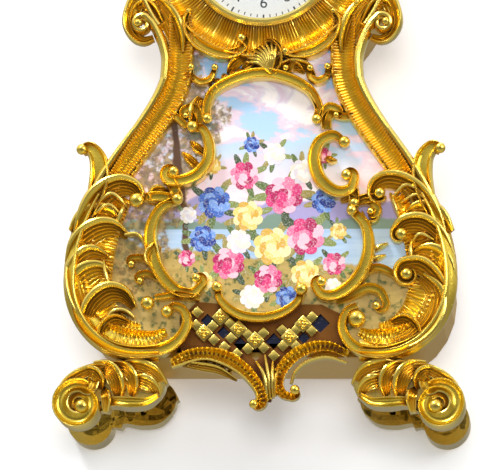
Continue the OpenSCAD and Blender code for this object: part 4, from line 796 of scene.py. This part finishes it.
draw_all(scroll, right_leaves, [
    ([(15.4, 25.4), (18.6, 26.8), (21.6, 28.2), (24, 27.6), (25.2, 25.6)], (1.2, 2, 1), LEFT, (0, 0.8),
     (1.5, -0.55)),
    ([(20.6, 30.8), (23, 32.3), (25.5, 31.8), (27.6, 30.2)], (1, 1.6, 1))])
draw_all(ball, right_leaves, [
    ((24, 47.3), 1.1, 3),
    ((28.3, 39), 1.2, 2.8),
    ((29.4, 30.9), 1.2, 3),
    ((19.5, 22), 1.8, 2.4)])
front_piece("right_leaves", right_leaves)

# The curled ears that stand out above the bulge

ears = bmesh.new()
for turn in (1, -1):
    ear = across(((34.6, 43), (33.2, 47), (32.4, 51), (32.8, 54.6), (34.4, 56.8), (36, 56.4)), turn)
    scroll(ears, ear, (2.2, 4.2, 2), LEFT * turn, (0, 1.1), None, (2.4, 3.7, 2.8))
front_piece("shoulder_ears", ears)

# The big scrolls at the lower corners, with a ribbed hollow inside each

corners = bmesh.new()
draw_all(scroll, corners, [
    ([(-37.8, 27.5), (-35.4, 21), (-30.6, 16.8), (-25.4, 15.3), (-19.4, 15.8), (-15.9, 18), (-14.4, 21.2),
     (-15.2, 23.8), (-17, 24.6), (-18.4, 23.4)], (1.4, 3, 1.4), RIGHT, (0, 1.2), None, (2.4, 3.9, 2.8)),
    ([(37.8, 27.5), (35, 20.6), (30.2, 16.8), (25, 15.2), (20.6, 15.6), (17.8, 17.6), (16.6, 20.6),
     (17.6, 23.6), (19.6, 24.6)], (1.4, 2.8, 1.3), LEFT, (0, 0), None, (2.4, 3.9, 2.8))])
draw_all(scroll, corners, [
    ([(-33.4, 22.4), (-30.6, 19.8), (-26.6, 18.4), (-22, 18.2), (-18.6, 19.6)], (2, 3.8, 1.6), LEFT),
    ([(33.4, 22.4), (30.6, 19.8), (26.6, 18.6), (22.6, 18.6), (20, 19.6)], (2, 3.8, 1.6), RIGHT)],
         height=(1.8, 2.7, 1.8), section=COVE, ribs=0.8, step=0.14)
for turn in (1, -1):
    leaf(corners, across(((31.6, 17.4), (31.2, 20.2), (29, 22), (26.2, 21.4)), turn), (1.2, 2, 0.8), 3,
         (2, 3.5, 2))
front_piece("corner_scrolls", corners)

# The apron: a lattice with rosettes and tiles, two ribbed bands and a pendant leaf

APRON_OUTLINE = [
    (-15.6, 15), (-16, 22), (-12.6, 25.6), (-8.4, 25.2), (-5, 22.6), (0, 21.4), (5, 22.6), (8.6, 25),
    (12.4, 25), (16.4, 23), (16.8, 15.4), (10.4, 15.8), (6.2, 13.6), (4.2, 9.6), (2.4, 5.4), (0.6, 5.6),
    (-1, 9.6), (-5, 13.4), (-10, 15)]
OPENINGS = [(-10.4, 21.8, 1.4), (-7.2, 19.4, 1.3), (-3.8, 17.1, 1.4), (-0.6, 15, 1.4), (2.9, 17.6, 1.7),
            (8.9, 18.3, 1.3), (12.2, 21.2, 1.9)]
ROSETTES = [(-7.7, 22.4), (-11, 19.2), (-4.1, 20), (-0.7, 17.7), (6.1, 18.3), (8.8, 21)]
TILES = [(-9.3, 20.6), (-5.8, 21.1), (-9, 17.8), (-5.6, 18.2), (-2.2, 18.9), (-2.2, 16), (0.9, 19.2),
         (1, 16.2), (4.6, 19.8), (4.8, 16.6), (7.4, 19.8), (7.4, 16.6), (10.5, 19.6), (10.6, 22.4),
         (-12.6, 20.8), (-6.9, 16.4), (-4.4, 15), (3, 14.6), (-12.4, 23.4)]


def diamond(x, z, r):
    return [Vector((x, z)) + r * Vector(d) for d in ((1, 0), (0, 1), (-1, 0), (0, -1))]


def stud(casting, p, r, rise):
    """A square tile that stands on its corner; r is half of its height, about."""
    edge = r * 1.41
    block(casting, (p[0], FACE_Y - rise / 2, p[1]), (edge, rise, edge), r * 0.16, 45)


lattice = bmesh.new()
filled_plate(lattice, [Vector(p) for p in APRON_OUTLINE], [diamond(*opening) for opening in OPENINGS],
             FACE_Y, 1.2)
# the plate behind the lattice wears the gilding darkened with painted shade
front_piece("apron_plate", lattice, painted_shade_gilt)

tiles = bmesh.new()
for p in ROSETTES:
    stud(tiles, p, 1.9, 2)
    for k in range(4):
        ball(tiles, polar(p, 0.62, 90 * k), 0.5, 1.9)
    ball(tiles, p, 0.4, 2.2)
for p in TILES:
    stud(tiles, p, 1.25, 1.8)
front_piece("apron_tiles", tiles)

apron = bmesh.new()
draw_all(scroll, apron, [
    ([(-17.6, 13.2), (-14, 14.9), (-10, 15.1), (-6, 14), (-2.6, 11.6), (-0.2, 8.6), (0.9, 6)],
     (1.4, 2.7, 1.3), LEFT, (0, 0), (1.4, -0.6)),
    ([(17.8, 15), (14, 16.5), (10.4, 16.2), (7, 14.5), (4.6, 11.7), (3.9, 9), (4.8, 7), (6.5, 6.3)],
     (1.4, 2.5, 1.2), RIGHT, (0, 0), (1.1, 0.45))],
         height=(2.2, 3.4, 2.6), section=COVE, ribs=0.9, step=0.16)
scroll(apron, [(-17.4, 12.4), (-11.4, 13.9), (-7.2, 13), (-3.6, 10.9), (-1.2, 8.4), (-0.2, 6.4),
               (-0.9, 4.8)], (0.6, 0.8, 0.8), LEFT, (0, 0.9), None, (2, 3.1, 2.6), ROUND)
leaf(apron, [(-16.8, 13.4), (-12, 12.6), (-8, 11.8), (-4.4, 9.8)], (0.6, 1.5, 0.4), 3, (1.2, 2.2, 1))
fringe(apron, [(-4.6, 11.6), (-9, 13.4), (-15, 13.6)], 1.3, 6, 1.3, (1.2, 2.2, 0.8), 0.6)
ball(apron, (7.3, 7.6), 1, 2.6)
bar(apron, [(17.6, 13.2), (13.7, 14.3), (9.8, 13.4), (7.4, 11.4), (6.4, 9)], (0.6, 0.8, 0.6), (1.8, 3, 2))
for points, width in (([(-0.6, 13.6), (1.2, 10.4), (1.9, 5.6)], 1.2),
                      ([(1.2, 14.8), (2, 10.6), (2.4, 5.8)], 1.1),
                      ([(2.8, 13.6), (2.8, 10.4), (2.9, 6.2)], 1.1),
                      ([(4, 12.4), (3.4, 9.6), (3.3, 6.6)], 1)):
    bar(apron, points, (0.6, width, 0.6), (1.6, 3.4, 2.2))
front_piece("apron_leaves", apron)


# The feet: a big volute, leaves over its top and the leg behind them

def foot(node, side, toward):
    """side is 1 for the right and -1 for the left, and toward is 1 for the front."""
    cast = bmesh.new()
    at = {"base": FOOT_BACK_Y, "skirt": FOOT_SKIRT}
    leg = smooth_line([(39.4, 7.4), (38.2, 10.4), (35, 12.6), (31.4, 13.2), (26, 13.1), (20.8, 12.6),
                       (19, 10.6), (19, 8), (20.4, 6.2), (23, 5.2), (27.6, 5.4), (31.4, 6), (33, 3.4),
                       (36.2, 2), (39, 3.8), (39.4, 7.4)], 0.7)[:-1]
    filled_plate(cast, leg, [], FOOT_BACK_Y, FOOT_SKIRT - 1.2)
    big = smooth_line([(28, 8.4), (28.8, 10.6), (30.8, 11.6), (33, 10.8)], 0.5)[:-1]
    big += spiral((36, 4.9), 3.8, 0.9, 126, -1.75, 1.5)
    scroll(cast, big, (1.2, 3.2, 1.2), LEFT, (0, 1.5), None, (1.6, 2.7, 2.2), COVE, **at)
    scroll(cast, [(32, 4), (29.4, 5.4), (26, 5.2), (22.6, 5.4), (20, 7)], (1, 2.2, 1), RIGHT,
           height=(1, 1.9, 1.2), section=COVE, **at)
    draw_all(leaf, cast, [
        ([(39.7, 3.4), (39.6, 6.6), (38.2, 9), (35.4, 11), (32, 12.2), (28.6, 12)], (0.8, 2, 1), 3,
         (1.4, 2.4, 1.6)),
        ([(36.2, 11), (33.4, 11.4), (31.8, 9.8), (31.8, 7.4)], (1.2, 2.2, 0.5), 4, (1.6, 2.7, 1.2)),
        ([(33.4, 13), (30, 12), (28.2, 9), (28.2, 5)], (1.6, 3, 0.6), 5, (1.4, 2.6, 1.2)),
        ([(30, 13.2), (26.8, 12), (25.2, 9.4), (25.6, 6)], (1.4, 2.6, 0.6), 4, (1.2, 2.3, 1.2)),
        ([(18.8, 9), (21, 11.4), (24.6, 12.6), (29, 12.4)], (1.2, 2.6, 1.4), 4, (1, 2, 1.2)),
        ([(26.4, 9.6), (23.4, 9.6), (21, 8.4), (20, 6.6)], (1, 2.6, 0.8), 4, (1, 2, 1)),
        ([(30.6, 3.6), (30.4, 6.4), (31.4, 8.8)], (1, 1.8, 0.6), 3, (1.4, 2.3, 1))], **at)
    bmesh.ops.transform(cast, matrix=Matrix.Diagonal((side, toward, 1, 1)), verts=cast.verts)
    if side * toward < 0:
        bmesh.ops.reverse_faces(cast, faces=cast.faces)
    piece(node + "_cast", cast, foot_gilt, [node])


foot("foot_front_right", 1, 1)
foot("foot_front_left", -1, 1)
foot("foot_rear_right", 1, -1)
foot("foot_rear_left", -1, -1)

# The crest: a shell of leaves before a ground darkened with painted shade, over a base block

TOP = DIAL_Z + HEAD_R
half = [(0, 18.3), (2.4, 15.9), (3.2, 13.1), (5.8, 14.3), (8, 12.1), (7, 9.1), (10.4, 9.1), (13.4, 6.1),
        (12.4, 2.9), (16.2, 2.5), (19.2, -0.7), (17.8, -3.9), (15.2, -5.4)]
outline = smooth_line([(x, TOP + z) for x, z in half] + [(-x, TOP + z) for x, z in reversed(half[1:])],
                      0.8)
crest_ground = bmesh.new()
filled_plate(crest_ground, outline, [], FACE_Y, 1.6)
piece("crest_plate", crest_ground, painted_shade_gilt, ["crest"])


def on_top(line, turn):
    return across([(x, TOP + z) for x, z in line], turn)


crest = bmesh.new()
block(crest, (0, FACE_Y + 2.5, TOP - 0.4), (14, 5, 3), 0.3)
leaf(crest, on_top(((0, -1), (0, 8), (0, 17.8)), 1), (3.4, 6.4, 1.2), 5, (2.4, 3.6, 1.8))
for turn in (1, -1):
    leaf(crest, on_top(((2.6, 0), (6, 5.4), (6.4, 9.6), (5.4, 13.4)), turn), (2.2, 4, 0.9), 4,
         (2.2, 3.4, 1.6))
    leaf(crest, on_top(((6, -0.6), (10, 2.6), (12, 6.6), (12.8, 6.4)), turn), (2, 3.8, 0.9), 4,
         (2.2, 3.4, 1.6))
    scroll(crest, on_top(((9.4, -2.4), (13.4, 0.6), (16.8, 0.4), (18.3, -2)), turn), (1.4, 2.6, 1.2),
           LEFT * turn, (0, 0.9), (1.7, -0.5 * turn), (2.4, 3.6, 2.4))
    ball(crest, (turn * 2.6, TOP + 1.4), 1.1, 3)
sweep(crest, arc(DIAL_MIDDLE, HEAD_R + 0.4, 48, 132), ROUND, (1.2, 1.6, 1.2), (3.2, 3.6, 3.2))
piece("crest_cast", crest, cast_gilt, ["crest"])

# The painted flowers: petals and leaves in thick enamel, on the plaque

PETAL_COLOURS = {"rose": [(214, 62, 122), (236, 124, 160), (250, 190, 204), (176, 34, 92)],
                 "yellow": [(234, 208, 116), (240, 224, 164), (214, 168, 66)],
                 "blue": [(64, 104, 188), (120, 158, 222), (40, 62, 140)],
                 "white": [(238, 236, 232), (222, 214, 222), (236, 222, 206)],
                 "leaf": [(92, 112, 58), (130, 142, 76), (66, 82, 54), (156, 140, 72)]}
FLOWERS = [("blue", -9.4, 46, 3.4), ("blue", -11.6, 38.6, 2.8), ("rose", -3.4, 51.4, 3),
           ("rose", -6.4, 33.6, 3.4), ("white", 2.6, 55.8, 2.4), ("rose", 4.6, 47.4, 4),
           ("yellow", -2.6, 43.2, 3.2), ("white", -4.4, 38, 2.6), ("rose", 9, 39, 4),
           ("yellow", 2.4, 37, 4), ("blue", 12.6, 46.2, 2.6), ("white", 8.2, 52.2, 2.6),
           ("yellow", 9, 31.4, 3), ("rose", 1.6, 30.4, 3), ("white", -1.6, 26.8, 2.6),
           ("blue", 5.4, 26.6, 2.4), ("rose", 14.8, 33.4, 2.4), ("yellow", -9.8, 53.4, 1.8),
           ("rose", 12.6, 55.4, 1.7), ("blue", -2, 57.8, 1.7), ("yellow", 15.6, 40, 1.8),
           ("white", -14.6, 43.4, 1.8), ("rose", -14.8, 34.6, 1.8), ("white", 14.6, 28.8, 1.8),
           ("yellow", -11.6, 29.8, 2.2)]
LEAF_RING = 1.05
PETAL_RINGS = [(LEAF_RING, 5, 1.15), (0.72, 8, 0.66), (0.42, 6, 0.66), (0.12, 3, 0.6)]
LOWEST, LEVEL_STEP = 0.01, 0.004


def petal(casting, p, length, width, degrees, colour, level):
    """One flat oval stroke of the brush, level above the plaque."""
    disc = bmesh.ops.create_circle(casting, cap_ends=True, cap_tris=False, segments=12, radius=1)["verts"]
    place = (Matrix.Translation((p.x, PLAQUE_Y - level, p.y)) @ Matrix.Rotation(radians(-degrees), 4, "Y")
             @ Matrix.Diagonal((length / 2, 1, width / 2, 1)) @ UPRIGHT)
    bmesh.ops.transform(casting, matrix=place, verts=disc)
    layer = casting.verts.layers.float_color["stroke"]
    for v in disc:
        v[layer] = tone(*colour)


flowers = bmesh.new()
flowers.verts.layers.float_color.new("stroke")
count = 0
for kind, x, z, r in FLOWERS:
    level = LOWEST
    for ring, number, size in PETAL_RINGS:
        for k in range(number):
            count += 1
            level += LEVEL_STEP
            if ring == LEAF_RING:
                shades, place = PETAL_COLOURS["leaf"], 40 + 72 * k + 17 * count % 60
                width, lie = r * 0.42, place
            else:
                shades, place = PETAL_COLOURS[kind], 360 * k / number + 31 * ring
                width, lie = r * 0.5, place + 70
            petal(flowers, polar((x, z), r * ring, place), r * size, width, lie,
                  shades[count % len(shades)], level)
piece("painted_flowers", flowers, enamel_flowers)

# The dial: numbers, a ring of minute strokes and a fine circle

NUMERAL_R, NUMERAL_SIZE = 9.7, 3.3
MINUTES_R, CIRCLE_R = 12.1, 13.5
INK = (0.02,) * 3

marks = bmesh.new()
for hour in range(1, 13):
    text = bpy.data.curves.new("numeral", "FONT")
    text.body, text.size, text.align_x, text.align_y = str(hour), NUMERAL_SIZE, "CENTER", "CENTER"
    text.extrude = 0.01
    holder = bpy.data.objects.new("numeral", text)
    mesh = bpy.data.meshes.new_from_object(holder)
    p = polar(DIAL_MIDDLE, NUMERAL_R, 90 - 30 * hour)
    mesh.transform(Matrix.Translation((p.x, DIAL_Y - 0.01, p.y)) @ UPRIGHT)
    marks.from_mesh(mesh)
    bpy.data.objects.remove(holder)
for minute in range(60):
    long, wide = (1.0, 0.34) if minute % 5 == 0 else (0.6, 0.2)
    middle, direction = Vector(DIAL_MIDDLE), polar((0, 0), 1, 6 * minute)
    stroke = [middle + direction * MINUTES_R, middle + direction * (MINUTES_R + long)]
    sweep(marks, spaced(stroke, 0.5), PLATE, (wide,) * 3, INK, DIAL_Y)
sweep(marks, arc(DIAL_MIDDLE, CIRCLE_R, 0, 360), PLATE, (0.1,) * 3, INK, DIAL_Y, closed=True)
piece("dial_marks", marks, numeral_enamel)


# The turned and bent CAD pieces that show, merged so that they catch the light smoothly

def smoothed(node, material, angle=30):
    copy = bmesh.new()
    copy.from_mesh(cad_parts[node].data)
    bmesh.ops.remove_doubles(copy, verts=copy.verts, dist=1e-6)
    bmesh.ops.scale(copy, vec=(1 / MM,) * 3, verts=copy.verts)
    piece(node + "_finished", copy, material, [node], angle)


smoothed("case_band", band_gilt)
smoothed("dial_bezel", cast_gilt)
smoothed("back_plate", back_gilt, 10)
smoothed("dial", dial_enamel)


# The other CAD pieces, in their own shapes

def dress(material, *nodes):
    for node in nodes:
        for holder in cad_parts[node].material_slots:
            holder.link = "OBJECT"
            holder.material = material


dress(enamel_painting, "enamel_plaque")
dress(glass, "dial_glass")
dress(back_gilt, "rear_door", "door_knob", "back_screws", "crest_screws", "foot_screws", "winding_key",
      "set_knob")
dress(hand_gilt, "hour_hand", "minute_hand", "hand_cap")
dress(raw_brass, "plaque_clips", "case_pillars")
dress(movement_brass, "movement_ring", "movement_front_plate", "movement_rear_plate", "plate_pillars",
      "mainspring_barrel", "barrel_cover", "hour_wheel", "minute_wheel", "centre_wheel", "third_wheel",
      "fourth_wheel", "balance_wheel", "balance_cock", "pallet_bridge", "cannon_pinion")
dress(bright_steel, "door_hinge_pin", "centre_arbor", "dog_screws", "plate_screws", "barrel_arbor",
      "ratchet_wheel", "click", "click_screw", "escape_wheel", "pallet_lever", "balance_staff",
      "cock_screw", "regulator")
dress(blue_steel, "mainspring", "click_spring", "hairspring")


# The floor and the backdrop, which only the camera sees and only from the object's side

def stage_sheet(name, place, turn):
    sheet = bmesh.new()
    bmesh.ops.create_grid(sheet, x_segments=1, y_segments=1, size=3)
    bmesh.ops.transform(sheet, matrix=Matrix.Translation(place) @ turn, verts=sheet.verts)
    mesh = bpy.data.meshes.new(name)
    sheet.to_mesh(mesh)
    sheet.free()
    p = Paint(name)
    facing = Field(p, p.node("ShaderNodeNewGeometry", {}, {}).outputs["Backfacing"])
    paper = p.node("ShaderNodeBsdfDiffuse", {}, {"Color": (0.8, 0.805, 0.815, 1)})
    lift = p.node("ShaderNodeEmission", {}, {"Color": (0.96, 0.97, 1, 1), "Strength": 0.22})
    lifted = p.node("ShaderNodeAddShader", {}, {0: paper.outputs[0], 1: lift.outputs[0]})
    clear = p.node("ShaderNodeBsdfTransparent", {}, {})
    both = p.node("ShaderNodeMixShader", {}, {0: facing, 1: lifted.outputs[0], 2: clear.outputs[0]})
    p.links.new(both.outputs[0], p.output.inputs["Surface"])
    mesh.materials.append(p.material)
    made = placed(name, mesh)
    made.visible_diffuse = made.visible_glossy = made.visible_transmission = made.visible_shadow = False


stage_sheet("floor", (0, 0, 0), Matrix.Identity(4))
stage_sheet("backdrop", (0, cad_box[1][1] + 0.0006, 0), UPRIGHT)


# The studio, in metres: soft lamps, and a world that is darker where the camera stands

def turned_to(place, direction):
    """The place of a lamp or camera whose back points along direction."""
    return Matrix.Translation(place) @ direction.to_track_quat("Z", "Y").to_matrix().to_4x4()


def lamp(name, place, size, power, mirrored_in_metal=True):
    light = bpy.data.lights.new(name, "AREA")
    light.shape, light.size, light.energy = "DISK", size, power
    holder = placed(name, light)
    holder.visible_glossy = mirrored_in_metal
    place, clock_middle = Vector(place), Vector((0, 0, 0.07))
    holder.matrix_world = turned_to(place, place - clock_middle)


lamp("key", (-0.35, -0.5, 0.75), 0.25, 5)
lamp("fill", (0.6, -0.5, 0.25), 0.35, 2)
lamp("top", (0.1, 0.1, 0.9), 0.4, 2.5)
lamp("front", (0.08, -1.1, 0.06), 0.3, 6, False)

world = bpy.data.worlds.new("studio")
bpy.context.scene.world = world
studio = Nodes(world, "ShaderNodeOutputWorld")
x, y, z = studio.split(studio.node("ShaderNodeTexCoord", {}, {}).outputs["Generated"])
light = 0.6 - z.ramp(-0.9, -0.1) * 0.3 + z.ramp(-0.1, 0.5) * 0.7
to_camera = x * 0.08 - y * 0.98 - z * 0.17
darker_in_front = 1 - to_camera.ramp(0.6, 0.98) * 0.5
seen = Field(studio, studio.node("ShaderNodeLightPath", {}, {}).outputs["Is Camera Ray"])
level = seen + (1 - seen) * light * darker_in_front * 0.88
studio_light = studio.node("ShaderNodeBackground", {}, {"Color": level})
studio.links.new(studio_light.outputs[0], studio.output.inputs["Surface"])

# The camera looks from a little to the right and a little below, through a long lens
AZIMUTH, ELEVATION, ROLL = 4.5, -10, 0.6
DISTANCE = 1.0
WIDTH_SEEN = 0.1
SENSOR = 36
aim = Vector((-0.0020, -0.0158, 0.039))
level_back = Vector((sin(radians(AZIMUTH)), -cos(radians(AZIMUTH)), 0)) * cos(radians(ELEVATION))
back = level_back + Vector((0, 0, sin(radians(ELEVATION))))
lens = bpy.data.cameras.new("camera")
lens.sensor_width = SENSOR
lens.lens = SENSOR * DISTANCE / WIDTH_SEEN
lens.clip_end = 10
camera = placed("camera", lens)
camera.matrix_world = turned_to(aim + back * DISTANCE, back) @ Matrix.Rotation(radians(ROLL), 4, "Z")
bpy.context.scene.camera = camera
bpy.context.scene.view_settings.view_transform = "Standard"
